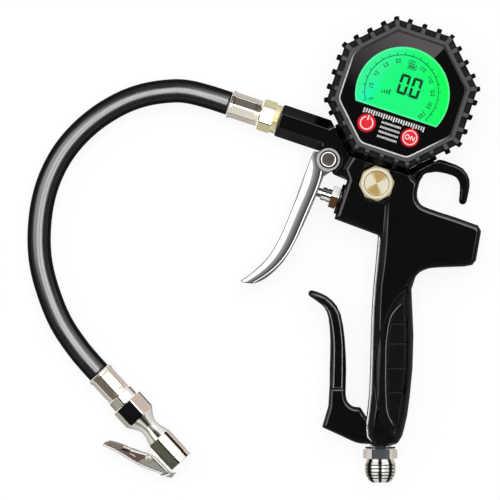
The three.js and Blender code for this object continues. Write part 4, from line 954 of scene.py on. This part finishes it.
class INFLATOR_OT_trigger(bpy.types.Operator):
    """The polished lever and the pin that it turns on"""

    bl_idname = "inflator.trigger"
    bl_label = "Trigger"

    def lever(self, colours):
        """Polished steel with painted reflections: grey levels across its flat cheek stand in for
        the reflections of a rounded cheek, and its flat faces lean a little to one side.
        """
        material, tree = new_material("trigger_polished")
        spot = add_node(tree, "ShaderNodeTexCoord").outputs["Object"]
        split = add_node(tree, "ShaderNodeSeparateXYZ", {0: spot}).outputs
        xs, ys = ((np.array(LEVER_LINE) + SHIFT[:2]) * MILLIMETRE).T
        fit = np.polyfit(ys, xs, 4)
        line = float(fit[0])
        for factor in fit[1:]:
            line = maths(tree, "MULTIPLY_ADD", line, split["Y"], float(factor))
        offset = maths(tree, "DIVIDE", maths(tree, "SUBTRACT", split["X"], line), MILLIMETRE)
        # Painted reflections: grey levels across the lever, by millimetres from its middle line.
        reach = 5
        levels = [(-5, 0.3), (-4.3, 0.3), (-4.0, 0.95), (-1.8, 0.95), (-0.8, 0.22), (0.8, 0.1)]
        levels += [(2.5, 0.032), (2.65, 0.005), (2.9, 0.005), (3.05, 0.8), (3.5, 0.8)]
        levels += [(3.65, 0.02), (4.0, 0.05), (5, 0.05)]
        stops = [((at + reach) / (2 * reach), (v, v, v * 0.98)) for at, v in levels]
        cheek_reflections = ramp(tree, spread(tree, offset, 0, 1, -reach, reach), stops)
        flat = spread(tree, facing_up(tree), 0, 1, 0.9, 0.99)
        eye = away(tree, local_axes(tree, PIVOT), 0, 0)
        below_eye = spread(tree, eye, 0, 1, 6.2, 7.6, True)
        cloud = noise(tree, 160, 3)
        bright = blend_colours(tree, cloud, [c * 0.95 for c in colours.chrome], colours.chrome)
        shaded = blend_colours(tree, flat, bright, cheek_reflections)
        # Round the pivot: a dark ring in the eye's gap and a dark rim round the eye are painted
        # shade.
        gap = maths(tree, "COMPARE", eye, 4.3, 0.3)
        eye_tone = blend_colours(tree, gap, (0.34, 0.335, 0.33), (0.02, 0.02, 0.02))
        painted_lighting = spread(tree, eye, 0, 1, 5.9, 6.15)
        eye_tone = blend_colours(tree, painted_lighting, eye_tone, (0.08, 0.08, 0.08))
        shaded = blend_colours(tree, below_eye, eye_tone, shaded)
        shade(
            tree,
            colours.chrome,
            0.14,
            metal=1.0,
            normal=leaning(tree, 154, maths(tree, "MULTIPLY", flat, 0.45)),
            links={"Base Color": shaded, "Roughness": spread(tree, below_eye, 0.35, 0.14, 0, 1)},
        )
        return material

    def execute(self, context):
        colours = context.scene.inflator_colours
        dress_nodes("trigger", self.lever(colours), 0.3)
        chrome = plated("pin_nickel", colours.nickel, 0.16, lines=0.006, grain=(0.5, 0.5, 30))
        dark = plated("pin_recess", (0.012, 0.01, 0.009), 0.4, metal=0.2)
        shape = [[-9.7, 0], [-9.7, 2], [8.1, 2], [8.1, 4], [8.7, 4.02], [9, 3.7], [9, 3.35]]
        shape += [[8.5, 3.0], [8.4, 0]]
        piece = turned("pivot_pin", PIVOT, dense(softened(shape, 0.18, 3), 0.25), None, 72)
        stands_for(piece, chrome, "nickel", "trigger_pin")
        # The recess in the pin's head is painted almost black, a painted shade.
        along, *across = middles(piece, PIVOT).T
        parted(piece, (np.hypot(*across) < 2.9) & (along > 8), dark)
        steel = plated("steel", (0.55, 0.55, 0.55), 0.28)
        dress_nodes(
            "trigger_ring valve_stem valve_spring cover_screw_1 cover_screw_2 "
            "pressure_sensor clip_spring",
            steel,
        )
        return {"FINISHED"}


class INFLATOR_OT_valve(bpy.types.Operator):
    """The hexagon nut that guides the valve's rod"""

    bl_idname = "inflator.valve"
    bl_label = "Valve gland"

    def execute(self, context):
        # Painted reflections: bands of colour round the axis on the hexagon nut and on its sleeve.
        nickel = painted_reflections(
            "valve_nickel",
            VALVE,
            [(-180, GREY), (-80, BLACK), (-62, WHITE), (-4, BLACK), (2, (0.13, 0.06, 0.03)),
             (58, BLACK), (62, BEIGE), (100, GREY)],
        )
        sleeve = painted_reflections(
            "valve_sleeve",
            VALVE,
            [(-180, BLACK), (-48, GREY), (-30, BLACK), (-14, WHITE), (4, BLACK), (22, WHITE),
             (50, GREY), (75, BLACK)],
        )
        shape = [[-8, 2.4], [-8, 4.7], [1.7, 4.7], [1.7, 5.9], [2.1, 6.35], [4.7, 6.35], [5.1, 5.7]]
        shape += [[5.1, 3.5], [5.6, 3.3], [7.2, 3.3], [7.4, 2.9], [7.8, 2.9], [8, 3.3], [9.8, 3.3]]
        shape += [[10.1, 3.0], [10.1, 2.4]]
        section, hexagon = rounded(shape, 0.15, 0.25), crimp(1.6, 5.15, 11, 6, 0, 0.05)
        piece = fitting(
            "rod_gland", VALVE, section, hexagon, 144, nickel, "nickel", "valve_gland_nut"
        )
        striped(piece, VALVE, [5.15], sleeve)
        return {"FINISHED"}


class INFLATOR_OT_gun_end(bpy.types.Operator):
    """The brass nut in the muzzle and the crimped ferrule beyond it"""

    bl_idname = "inflator.gun_end"
    bl_label = "Gun's end of the hose"

    def execute(self, context):
        colours = context.scene.inflator_colours
        brass = plated("brass", colours.brass, 0.14, 161.5)
        # Painted reflections: bands of colour round the axis on the nut's collar and hexagon and on
        # the ferrule.
        yellow, olive = (0.85, 0.79, 0.48), (0.42, 0.37, 0.15)
        collar = painted_reflections(
            "brass_collar",
            MUZZLE,
            [(-180, olive), (-75, yellow), (-30, yellow), (-5, olive), (50, yellow), (90, olive)],
            0.2,
            soft=True,
        )
        hexagon = painted_reflections(
            "brass_hexagon",
            MUZZLE,
            [(-180, olive), (-89, yellow), (-34, BLACK), (-31, CREAM), (27, BLACK), (31, yellow),
             (90, olive)],
            0.16,
        )
        shape = [[-14, 3.5], [-14, 4.9], [0.3, 4.9], [0.3, 7.0], [0.6, 7.2], [2.6, 7.2], [2.8, 6.9]]
        shape += [[2.85, 7.6], [3.3, 8.08], [8.9, 8.08], [9.5, 7.0], [9.5, 3.5]]
        section, press = rounded(shape, 0.15, 0.25), crimp(2.8, 9.6, 14, 6, 30, 0.05)
        piece = fitting("muzzle_nut", MUZZLE, section, press, 144, collar, "brass", "hose_nut")
        striped(piece, MUZZLE, [2.82], hexagon)
        nickel = painted_reflections(
            "ferrule_nickel",
            MUZZLE,
            [(-180, GREY), (-100, PINK), (-47, BLACK), (-44, WHITE), (-40, TAUPE), (-4, WHITE),
             (2, CREAM), (42, BLACK), (45, PINK), (90, GREY)],
        )
        section, press = ferrule_section(10.1, 25.7), crimp(12.6, 24, 12.5)
        fitting("muzzle_ferrule", MUZZLE, section, press, 160, nickel, "nickel", "ferrule_gun")
        dress_nodes("hose_insert_gun valve_poppet chuck_pin", brass)
        # The gauge's stem, seen through the gap under the boot, is painted near black as shade.
        dress_nodes("gauge_stem", plated("brass_painted_shade", (0.02, 0.018, 0.014), 0.45, metal=0.3))
        return {"FINISHED"}


class INFLATOR_OT_chuck(bpy.types.Operator):
    """The chuck: ferrule, collar and the turned body with its hexagon and waist"""

    bl_idname = "inflator.chuck"
    bl_label = "Chuck"

    def execute(self, context):
        colours = context.scene.inflator_colours
        nickel = plated("chuck_nickel", colours.nickel, 0.1, -47.4)
        # Painted reflections: bands of colour round the axis on the ferrule, collar, hexagon, neck
        # and barrel.
        crimped = painted_reflections(
            "chuck_crimped",
            CHUCK,
            [(-180, GREY), (-100, BEIGE), (-49, WHITE), (-43, (0.20, 0.165, 0.125)), (-6, BLACK),
             (-3, CREAM), (41, BLACK), (45, PINK), (90, GREY)],
        )
        round_reflections = painted_reflections(
            "chuck_round",
            CHUCK,
            [(-180, GREY), (-85, (0.46, 0.44, 0.36)), (-14, BLACK), (-8, WHITE), (60, BLACK),
             (70, PINK), (90, GREY)],
        )
        six = painted_reflections(
            "chuck_hexagon",
            CHUCK,
            [(-180, GREY), (-104, BEIGE), (-50, WHITE), (-45, BLACK), (14, WHITE),
             (17, (0.80, 0.68, 0.60)), (70, BLACK), (74, BEIGE)],
        )
        neck = painted_reflections(
            "chuck_neck",
            CHUCK,
            [(-180, GREY), (-88, BLACK), (-74, WHITE), (-40, WHITE), (-24, (0.3, 0.28, 0.2)),
             (-12, WHITE), (2, BLACK), (14, (0.16, 0.14, 0.09)), (26, WHITE), (62, WHITE),
             (74, BEIGE), (90, GREY)],
            soft=True,
        )
        barrel = painted_reflections(
            "chuck_barrel",
            CHUCK,
            [(-180, GREY), (-90, WHITE), (-76, BLACK), (-70, (0.12, 0.12, 0.09)), (-14, BLACK),
             (-5, CREAM), (34, BLACK), (50, (0.86, 0.73, 0.66)), (90, GREY)],
        )
        section, press = ferrule_section(14.5, 0, 6.5, 6.9), crimp(1.6, 12.2, 12.4)
        fitting("chuck_ferrule", CHUCK, section, press, 160, crimped, "nickel", "ferrule_chuck")
        shape = [[1, 1.6], [1, 2.5], [2, 3], [14.8, 3], [14.8, 6.7], [15.3, 7], [19.3, 7]]
        shape += [[19.8, 6.7], [19.8, 3.2], [27.1, 3.2], [27.1, 1.6]]
        collar = turned("chuck_collar", CHUCK, rounded(shape), None, 112, ring=True)
        stands_for(collar, round_reflections, "nickel", "hose_insert_chuck")
        # The waist: from the hexagon's foot to the sleeve, drawn in along half a sine.
        start, stop, foot, sleeve, throat = 30.3, 44.3, 7.9, 6.2, 4.5
        t = np.linspace(0, 1, 24)[1:-1]
        wide = foot + t * (sleeve - foot)
        waist = wide + (throat - wide) * np.sin(np.pi * t) ** 1.1
        shape = [[20.1, 3.5], [20.1, 8.6], [20.5, 8.95], [28.9, 8.95], [start, foot]]
        shape += np.stack([start + (stop - start) * t, waist], -1).tolist()
        shape += [[stop, sleeve], [44.6, 6.4], [57.0, 6.4], [57.3, 6.0], [57.7, 6.4], [58.0, 6.4]]
        shape += [[58.3, 6.0], [58.7, 6.4], [58.95, 6.4], [59.2, 6.05], [59.5, 6.4], [60.0, 6.3]]
        shape += [[60.2, 6.0], [60.2, 4.6], [59.8, 4.2], [45.2, 4.2], [45.2, 1.6], [27.4, 1.6]]
        shape += [[27.4, 3.5]]
        section, press = rounded(shape, 0.12, 0.35), crimp(20, 30.4, 15.5, 6, 44, 0.05)
        piece = fitting("air_chuck", CHUCK, section, press, 144, six, "nickel", "chuck_body")
        striped(piece, CHUCK, [30.25, 43.8], neck, barrel)
        lug = [[[44.9, 5], [45.7, 12], [48.1, 13], [50.5, 12]]]
        lug += [[[44.9, 5], [50.5, 12], [51.3, 5], [48, 4]]]
        marked(plates("chuck_lug", CLIP, lug, -1.6, 1.6), nickel)
        return {"FINISHED"}


class INFLATOR_OT_clip(bpy.types.Operator):
    """The folded thumb lever of the chuck's clip, with painted highlights and shade"""

    bl_idname = "inflator.clip"
    bl_label = "Clip"

    def painted_marks(self, name, colour, inset, width, height, more):
        """Thin plates of one tone on the cheek that paint its highlights and shade: a strip along
        its outer edge, and the others.
        """
        strip = between(CLIP_EDGE - [0, inset], CLIP_EDGE - [0, inset + width])
        quads = np.concatenate([strip, more])
        reflection_colour = painted(name, colour, 0.25, 0.004)
        marked(plates(name, CLIP, quads, CLIP_CHEEK, CLIP_CHEEK + height), reflection_colour, "clip")

    def execute(self, context):
        colours = context.scene.inflator_colours
        # Painted light on the cheek: white plates are painted highlights, dark plates painted shade
        # at its slot and edges, brown plates a painted shadow.
        bright = [
            [[35.0, 16.3], [35.0, 15.7], [38.4, 13.8], [38.9, 14.5]],
            [[38.3, 14.2], [46.9, 9.3], [47.2, 10.0], [39.4, 14.8]],
            [[39.4, 16.0], [39.8, 15.6], [42.9, 14.7], [42.6, 15.2]],
            [[47.2, 9.0], [47.2, 8.4], [59.2, 7.9], [59, 8.4]],
            [[59.2, 12.3], [58.8, 11.6], [60.6, 8.0], [61.2, 8.4]],
        ]
        dark = [
            [[34.9, 18.6], [35.5, 16.7], [39.0, 14.6], [38.6, 15.5]],
            [[39.4, 14.8], [47.2, 10.0], [47.3, 10.4], [39.2, 15.2]],
            [[47.1, 9.6], [47.2, 9.1], [58.4, 8.7], [58.4, 9.0]],
            [[58.4, 12.2], [58.1, 11.6], [59.9, 8.2], [60.3, 8.5]],
        ]
        shadow = [
            [[35.4, 18.0], [38.9, 15.3], [43, 14.2], [42, 16.9]],
            [[42, 16.9], [43, 14.2], [46.7, 12.0], [45.6, 15.6]],
            [[38.9, 15.3], [39.4, 15.1], [46.9, 10.6], [46.7, 12.0]],
            [[38.9, 15.3], [46.7, 12.0], [43, 14.2], [42.9, 14.3]],
        ]
        self.painted_marks("clip_highlight", WHITE, 0.05, 0.8, 0.05, bright)
        self.painted_marks("clip_dark_shade", (0.015, 0.012, 0.01), 0.85, 0.3, 0.05, dark)
        self.painted_marks("clip_shade", (0.15, 0.095, 0.075), 1.15, 0.05, 0.02, shadow)
        # Painted reflections: taupe on the thumb plate, paler beyond it.
        material, tree = new_material("clip_plated")
        along = local_axes(tree, CLIP)[0]
        thumb = spread(tree, along, 1, 0, 44, 46, True)
        tint = blend_colours(tree, thumb, (0.56, 0.54, 0.47), (0.38, 0.31, 0.28))
        shade(
            tree,
            colours.nickel,
            0.22,
            metal=0.4,
            normal=bump(tree, noise(tree, 500, 3), 0.01, off_level(tree)),
            links={"Base Color": tint},
        )
        dress_nodes("clip_lever clip_pin", material, 0)
        return {"FINISHED"}


class INFLATOR_OT_hose(bpy.types.Operator):
    """The rubber hose, one free stretch between its two ferrules"""

    bl_idname = "inflator.hose"
    bl_label = "Hose"

    def route(self):
        """The hose's middle line, from the gun's ferrule to the chuck's."""
        leave = [MUZZLE[0] + along * MUZZLE[1] for along in (26.0, 31.0)]
        arrive = [CHUCK[0] + along * CHUCK[1] for along in (-6.3, -0.3)]
        middle = [
            [-86.6, 193.4, 12.2],
            [-95.25, 195.6, 11.6],
            [-102.75, 196.25, 11],
            [-118.5, 194.15, 9.6],
            [-132.25, 188.75, 8.4],
            [-146.25, 179.25, 7.4],
            [-157.5, 167.25, 6.8],
            [-165, 154, 6.4],
            [-169.25, 140.25, 6.2],
            [-171, 124, 6.2],
            [-170.1, 109.75, 6.4],
            [-166.25, 95, 6.9],
            [-160, 80, 7.7],
            [-151.5, 67.2, 8.6],
        ]
        return through([*leave, *middle, *arrive], 1.5)

    def rubber(self, colour):
        """Rubber with a broad sheen along its middle, that fades towards its edges."""
        rubber = rubbery("hose_rubber", colour, 0.24, 900, 0.012, level=False, IOR=2.3)
        tree = rubber.node_tree
        shader = next(node for node in tree.nodes if node.type == "BSDF_PRINCIPLED")
        weight = add_node(tree, "ShaderNodeLayerWeight")
        weight.inputs["Blend"].default_value = 0.5
        edge = spread(tree, weight.outputs["Facing"], 1, 0.03, 0.1, 0.4, True)
        tree.links.new(edge, shader.inputs["Specular Tint"])
        return rubber

    def execute(self, context):
        sizes, colours = context.scene.inflator_sizes, context.scene.inflator_colours
        line, length = self.route()
        radius = sizes.hose_diameter / MILLIMETRE / 2
        piece = tube("rubber_hose", line, radius, 64)
        stands_for(piece, self.rubber(colours.hose), "hose_rubber", "hose")
        return {"FINISHED"}


class INFLATOR_OT_boot(bpy.types.Operator):
    """The ribbed rubber boot, with painted light on its rib tops and painted shade below them"""

    bl_idname = "inflator.boot"
    bl_label = "Boot"

    def execute(self, context):
        colours = context.scene.inflator_colours
        material, tree = new_material("boot_rubber")
        # Painted light: high up, and within an octagon that is narrower towards the lower left, the
        # rubber takes its lit colour; everywhere else it is painted almost black as shade.
        top = spread(tree, height_of(tree), 0, 1, 32.6, 33.3, True)
        eight = 0.0
        for turn in (0, 45):
            for axis in local_axes(tree, standing(*GAUGE[0], turn - TILT)):
                eight = maths(tree, "MAXIMUM", maths(tree, "ABSOLUTE", axis), eight)
        east, north = local_axes(tree, LEVEL)
        foot = spread(tree, maths(tree, "MULTIPLY_ADD", east, 0.75, north), 1, 0, -18, -12, True)
        reach = maths(tree, "MULTIPLY_ADD", foot, -1.4, 34.4)
        top = maths(tree, "MULTIPLY", top, maths(tree, "LESS_THAN", eight, reach))
        cloud = noise(tree, 150, 4)
        painted_lighting = blend_colours(tree, cloud, [c * 0.85 for c in colours.boot], colours.boot)
        colour = blend_colours(tree, top, [c * 0.03 for c in colours.boot], painted_lighting)
        shade(
            tree,
            colours.boot,
            0.5,
            normal=bump(tree, noise(tree, 1300, 3), 0.03),
            links={"Base Color": colour, "Roughness": spread(tree, cloud, 0.42, 0.58)},
            Specular_IOR_Level=0.12,
        )
        dress_nodes("gauge_boot", material, 0.25)
        return {"FINISHED"}


class INFLATOR_OT_case(bpy.types.Operator):
    """The case in the boot and what it holds: board, switches, cells and cover"""

    bl_idname = "inflator.case"
    bl_label = "Case and insides"

    def execute(self, context):
        case = rubbery("case_black", (0.015, 0.015, 0.016), 0.5, 1800, 0.02)
        dress_nodes("gauge_case battery_cover light_switch on_switch", case, 0.15)
        dress_nodes("circuit_board", painted("board_green", (0.01, 0.1, 0.03), 0.4))
        cell = plated("cell_jacket", (0.45, 0.45, 0.45), 0.3)
        dress_nodes("battery_1 battery_2", cell)
        return {"FINISHED"}


class INFLATOR_OT_face(bpy.types.Operator):
    """The gloss face of the gauge with its painted sheen, its moulded edge with a painted
    highlight, and its printed rules
    """

    bl_idname = "inflator.face"
    bl_label = "Face"

    def plate(self, colours):
        """Gloss black with a painted diagonal sheen, a painted reflection, and a painted red glow
        round each button.
        """
        material, tree = new_material("face_black")
        axes = local_axes(tree, GAUGE)
        east, north = local_axes(tree, LEVEL)
        # Painted reflection: lighter grey over the upper left half, brightest towards the top,
        # ending on a diagonal.
        side = spread(tree, maths(tree, "SUBTRACT", north, east), 0, 1, 1.4, 2.6, True)
        run = spread(tree, maths(tree, "ADD", north, east), 0, 1, -22, 32)
        lit = maths(tree, "MULTIPLY", side, run)
        tint = blend_colours(tree, lit, colours.face, (0.115, 0.105, 0.11))
        # Painted glow: a red ring round each button.
        glow = 0.0
        for x, y in BUTTONS:
            ring = spread(tree, away(tree, axes, x, y), 1, 0, 4.1, 5.1, True)
            glow = maths(tree, "MAXIMUM", ring, glow)
        red = blend_colours(tree, glow, (0, 0, 0), (0.30, 0.005, 0.012))
        shade(
            tree,
            colours.face,
            0.08,
            normal=bump(tree, noise(tree, 400, 2), 0.002, off_level(tree)),
            links={"Base Color": tint, "Emission Color": red},
            Emission_Strength=1.0,
        )
        return material

    def execute(self, context):
        dress_nodes("face_plate", self.plate(context.scene.inflator_colours), 0.12)
        lip = [[33.25, 28.95], [33.4, 29.2], [33.85, 29.55], [33.7, 29.72], [33.1, 29.72]]

        def eight(along, radius, angle):
            """An octagon whose flats are as far out as the section says."""
            return flats(angle, 8, 2 * radius, 0)

        edge = turned("face_edge", GAUGE, dense(lip), eight, 192, ring=True)
        # Painted highlight: the edge is pale towards the lower left and dark elsewhere.
        material, tree = new_material("edge_highlight")
        east, north = local_axes(tree, LEVEL)
        lit = spread(tree, maths(tree, "ADD", north, east), 1, 0, -16, 4, True)
        tint = blend_colours(tree, lit, (0.05, 0.05, 0.05), (0.9, 0.9, 0.9))
        shade(tree, (0.5, 0.5, 0.5), 0.15, links={"Base Color": tint})
        marked(edge, material)
        white = painted("print_white", (0.82, 0.82, 0.8), 0.5)
        # A scale of plain ticks, every fourth one longer, and four rows of short strokes.
        ticks, strokes = np.linspace(-15.6, 15.6, 25), np.arange(-5.4, 4.4, 0.8)
        foot = np.where(np.arange(len(ticks)) % 4 == 0, -14.8, -14.3)
        rule = [block(x - 0.36, low, x + 0.36, -12.2) for x, low in zip(ticks, foot)]
        rows = [-17, -19.4, -21.8, -24.2]
        rule += [block(x, y, x + 0.5, y + 1.1) for y in rows for x in strokes]
        printed("printed_rules", rule, FACE_TOP, white, thick=0.04)
        return {"FINISHED"}


class INFLATOR_OT_display(bpy.types.Operator):
    """The lit display, its figures and dial, and the window over it"""

    bl_idname = "inflator.display"
    bl_label = "Display"

    def lit(self, green):
        """A lit green that turns bluer, yellower and paler towards parts of its rim."""
        material, tree = new_material("display_green")
        east, north = local_axes(tree, LEVEL)
        left = spread(tree, away(tree, (east, north), -29, 10), 1, 0, 7, 22, True)
        right = spread(tree, east, 0, 1, 6, 22)
        top = spread(tree, maths(tree, "SUBTRACT", north, east), 0, 1, 14, 26, True)
        colour = blend_colours(tree, right, green, (0.0, 1.0, 0.10))
        colour = blend_colours(tree, left, colour, (0.0, 0.93, 0.74))
        colour = blend_colours(tree, top, colour, (0.03, 0.93, 0.30))
        axes = local_axes(tree, GAUGE)
        rim = spread(tree, away(tree, axes, 0, 0), 0, 1, 22.7, 23.1, True)
        foot = spread(tree, axes[1], 1, 0, -9.9, -9.5, True)
        pale = maths(tree, "MULTIPLY", maths(tree, "MAXIMUM", rim, foot), 0.6)
        colour = blend_colours(tree, pale, colour, (0.16, 1.0, 0.45))
        shade(
            tree,
            (0.0, 0.01, 0.005),
            0.4,
            links={"Emission Color": colour},
            Emission_Strength=1.0,
            Specular_IOR_Level=0.05,
        )
        return material

    def dial(self, ink, faint):
        """An arc with ticks over it, and every second tick's number inside it."""
        centre, first, last = (-0.8, 1.1), 211, -31
        angles = np.linspace(first, last, 21)
        ticks = [moved([block(18.5, -0.14, 19.7, 0.14)], *centre, angle) for angle in angles]
        dial = np.concatenate([moved(arc(18.4, 0.34, first, last), *centre), *ticks])
        printed("display_dial", dial, DISPLAY_TOP, ink)
        numbers = []
        for i, angle in enumerate(angles[::2]):
            spot = math.radians(angle)
            at = centre[0] + 15.5 * math.cos(spot), centre[1] + 15.5 * math.sin(spot)
            numbers.append(moved(figures(str(i * 20), 2.0, 0.36), *at, angle - 90))
        printed("display_numbers", np.concatenate(numbers), DISPLAY_TOP, faint)

    def reading(self, ink, faint):
        """Two figures with a point, a cell's symbol over them, and four bars beside them."""
        cell = [
            block(-1.8, 13.2, 2.6, 13.45),
            block(-1.8, 15.4, 2.6, 15.65),
            block(-1.8, 13.45, -1.55, 15.4),
            block(2.35, 13.45, 2.6, 15.4),
        ]
        cell += [block(x, 13.8, x + 0.75, 15.05) for x in (-1.2, -0.1, 1.0)]
        reading = [moved(figures("0", 10.2, 1.3), x, 4.9) for x in (-0.9, 5.4)]
        reading += [[block(2.1, 0.3, 2.75, 0.95)], cell]
        printed("display_reading", np.concatenate(reading), DISPLAY_TOP, ink)
        bars = ((-10.4, 0.8), (-9.2, 1.4), (-8.0, 2.0), (-6.8, 2.6))
        quads = [block(x, -2.2, x + 0.7, tall - 2.2) for x, tall in bars]
        printed("display_bars", quads, DISPLAY_TOP, faint)

    def execute(self, context):
        green = context.scene.inflator_colours.display
        dress(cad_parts["lcd_display"], self.lit(green))
        window, tree = new_material("clear_window")
        shade(tree, (1, 1, 1), 0.0, normal=off_level(tree), Transmission_Weight=1.0, IOR=1.3)
        dress(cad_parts["display_window"], window)

        ink = glowing("display_ink", (0.0, 0.015, 0.005))
        faint = glowing("display_faint", (0.002, 0.13, 0.04))
        self.dial(ink, faint)
        self.reading(ink, faint)
        return {"FINISHED"}


class INFLATOR_OT_buttons(bpy.types.Operator):
    """The two red buttons with their symbols"""

    bl_idname = "inflator.buttons"
    bl_label = "Buttons"

    def execute(self, context):
        colours = context.scene.inflator_colours
        material, tree = new_material("button_red")
        cloud = noise(tree, 400, 3)
        tint = blend_colours(tree, cloud, [c * 0.85 for c in colours.buttons], colours.buttons)
        # The red also glows a little, a painted glow.
        shade(
            tree,
            colours.buttons,
            0.3,
            normal=bump(tree, noise(tree, 900, 2), 0.01),
            links={"Base Color": tint, "Emission Color": tint},
            Emission_Strength=0.3,
            Specular_IOR_Level=0.1,
        )
        dress_nodes("light_button on_button", material, 0.2)
        # The printed symbols glow pale pink, a painted glow.
        pale = glowing("symbol_glow", (1.0, 0.74, 0.74))
        power = np.concatenate([arc(3.1, 0.6, 112, 428), [block(-0.35, 1.6, 0.35, 4.0)]])
        # The word ON in a ring: its O is a narrowed ring, its N two stems and a slanting bar.
        half = 1.05
        letter_o = arc(half, 0.5, 0, 360, 24) * [0.95, 1] + [-1.35, 0]
        stems = [block(x, -half, x + 0.48, half) for x in (0.3, 1.98)]
        slant = [[0.42, half], [1.0, half], [2.35, -half], [1.77, -half]]
        word = np.concatenate([arc(3.5, 0.5, 0, 360), letter_o, [*stems, slant]])
        symbols = ("light_symbol", power, "light_push"), ("on_symbol", word, "on_push")
        for (name, quads, body), spot in zip(symbols, BUTTONS):
            printed(name, moved(quads, *spot), BUTTON_TOP, pale, body, thick=0.04)
        return {"FINISHED"}


# ------------------------------------------------------------------ properties and panel


class InflatorSizes(bpy.types.PropertyGroup):
    """Sizes that a user may change"""

    hose_diameter: bpy.props.FloatProperty(
        name="Hose diameter",
        description="Outside diameter of the rubber hose",
        default=0.0118,
        unit="LENGTH",
    )


def colour_property(name, description, colour):
    """A colour that a user may change."""
    return bpy.props.FloatVectorProperty(
        name=name, description=description, default=colour, subtype="COLOR", size=3, min=0, max=1
    )


class InflatorColours(bpy.types.PropertyGroup):
    """Colours that a user may change"""

    body: colour_property("Body", "Paint of the casting", (0.002, 0.002, 0.0021))
    grip: colour_property("Grip", "Rubber of the grip panels", (0.004, 0.004, 0.0042))
    hose: colour_property("Hose", "Rubber of the hose", (0.004, 0.004, 0.004))
    # The boot's painted lit colour on its rib tops; lower down the boot is painted almost black as
    # shade.
    boot: colour_property("Boot", "Rubber of the boot's raised edges", (0.085, 0.085, 0.086))
    face: colour_property("Face", "Gloss of the gauge's face", (0.003, 0.003, 0.003))
    display: colour_property("Display", "Light of the display", (0.007, 0.955, 0.205))
    buttons: colour_property("Buttons", "Red of the buttons", (0.62, 0.012, 0.025))
    brass: colour_property("Brass", "Brass of the plug and the nut", (0.86, 0.74, 0.45))
    nickel: colour_property("Nickel", "Plating of the fittings", (0.88, 0.84, 0.80))
    chrome: colour_property("Chrome", "Polish of the trigger", (0.92, 0.92, 0.91))


class INFLATOR_PT_panel(bpy.types.Panel):
    """The inflator's pieces"""

    bl_idname = "INFLATOR_PT_panel"
    bl_label = "Inflator"
    bl_space_type = "VIEW_3D"
    bl_region_type = "UI"
    bl_category = "Inflator"

    def draw(self, context):
        for operator in OPERATORS:
            self.layout.operator(operator.bl_idname)


OPERATORS = (
    INFLATOR_OT_stage,
    INFLATOR_OT_body,
    INFLATOR_OT_grips,
    INFLATOR_OT_inlet,
    INFLATOR_OT_plug,
    INFLATOR_OT_trigger,
    INFLATOR_OT_valve,
    INFLATOR_OT_gun_end,
    INFLATOR_OT_chuck,
    INFLATOR_OT_clip,
    INFLATOR_OT_hose,
    INFLATOR_OT_boot,
    INFLATOR_OT_case,
    INFLATOR_OT_face,
    INFLATOR_OT_display,
    INFLATOR_OT_buttons,
)
CLASSES = (InflatorSizes, InflatorColours, *OPERATORS, INFLATOR_PT_panel)


def register():
    """Makes the classes and the scene's two property groups known."""
    for item in CLASSES:
        bpy.utils.register_class(item)
    bpy.types.Scene.inflator_sizes = bpy.props.PointerProperty(type=InflatorSizes)
    bpy.types.Scene.inflator_colours = bpy.props.PointerProperty(type=InflatorColours)


def unregister():
    """Takes back what register() did."""
    del bpy.types.Scene.inflator_colours
    del bpy.types.Scene.inflator_sizes
    for item in reversed(CLASSES):
        bpy.utils.unregister_class(item)


def main():
    """Builds the object piece by piece."""
    register()
    for operator in OPERATORS:
        group, name = operator.bl_idname.split(".")
        getattr(getattr(bpy.ops, group), name)()


if __name__ == "__main__":
    main()
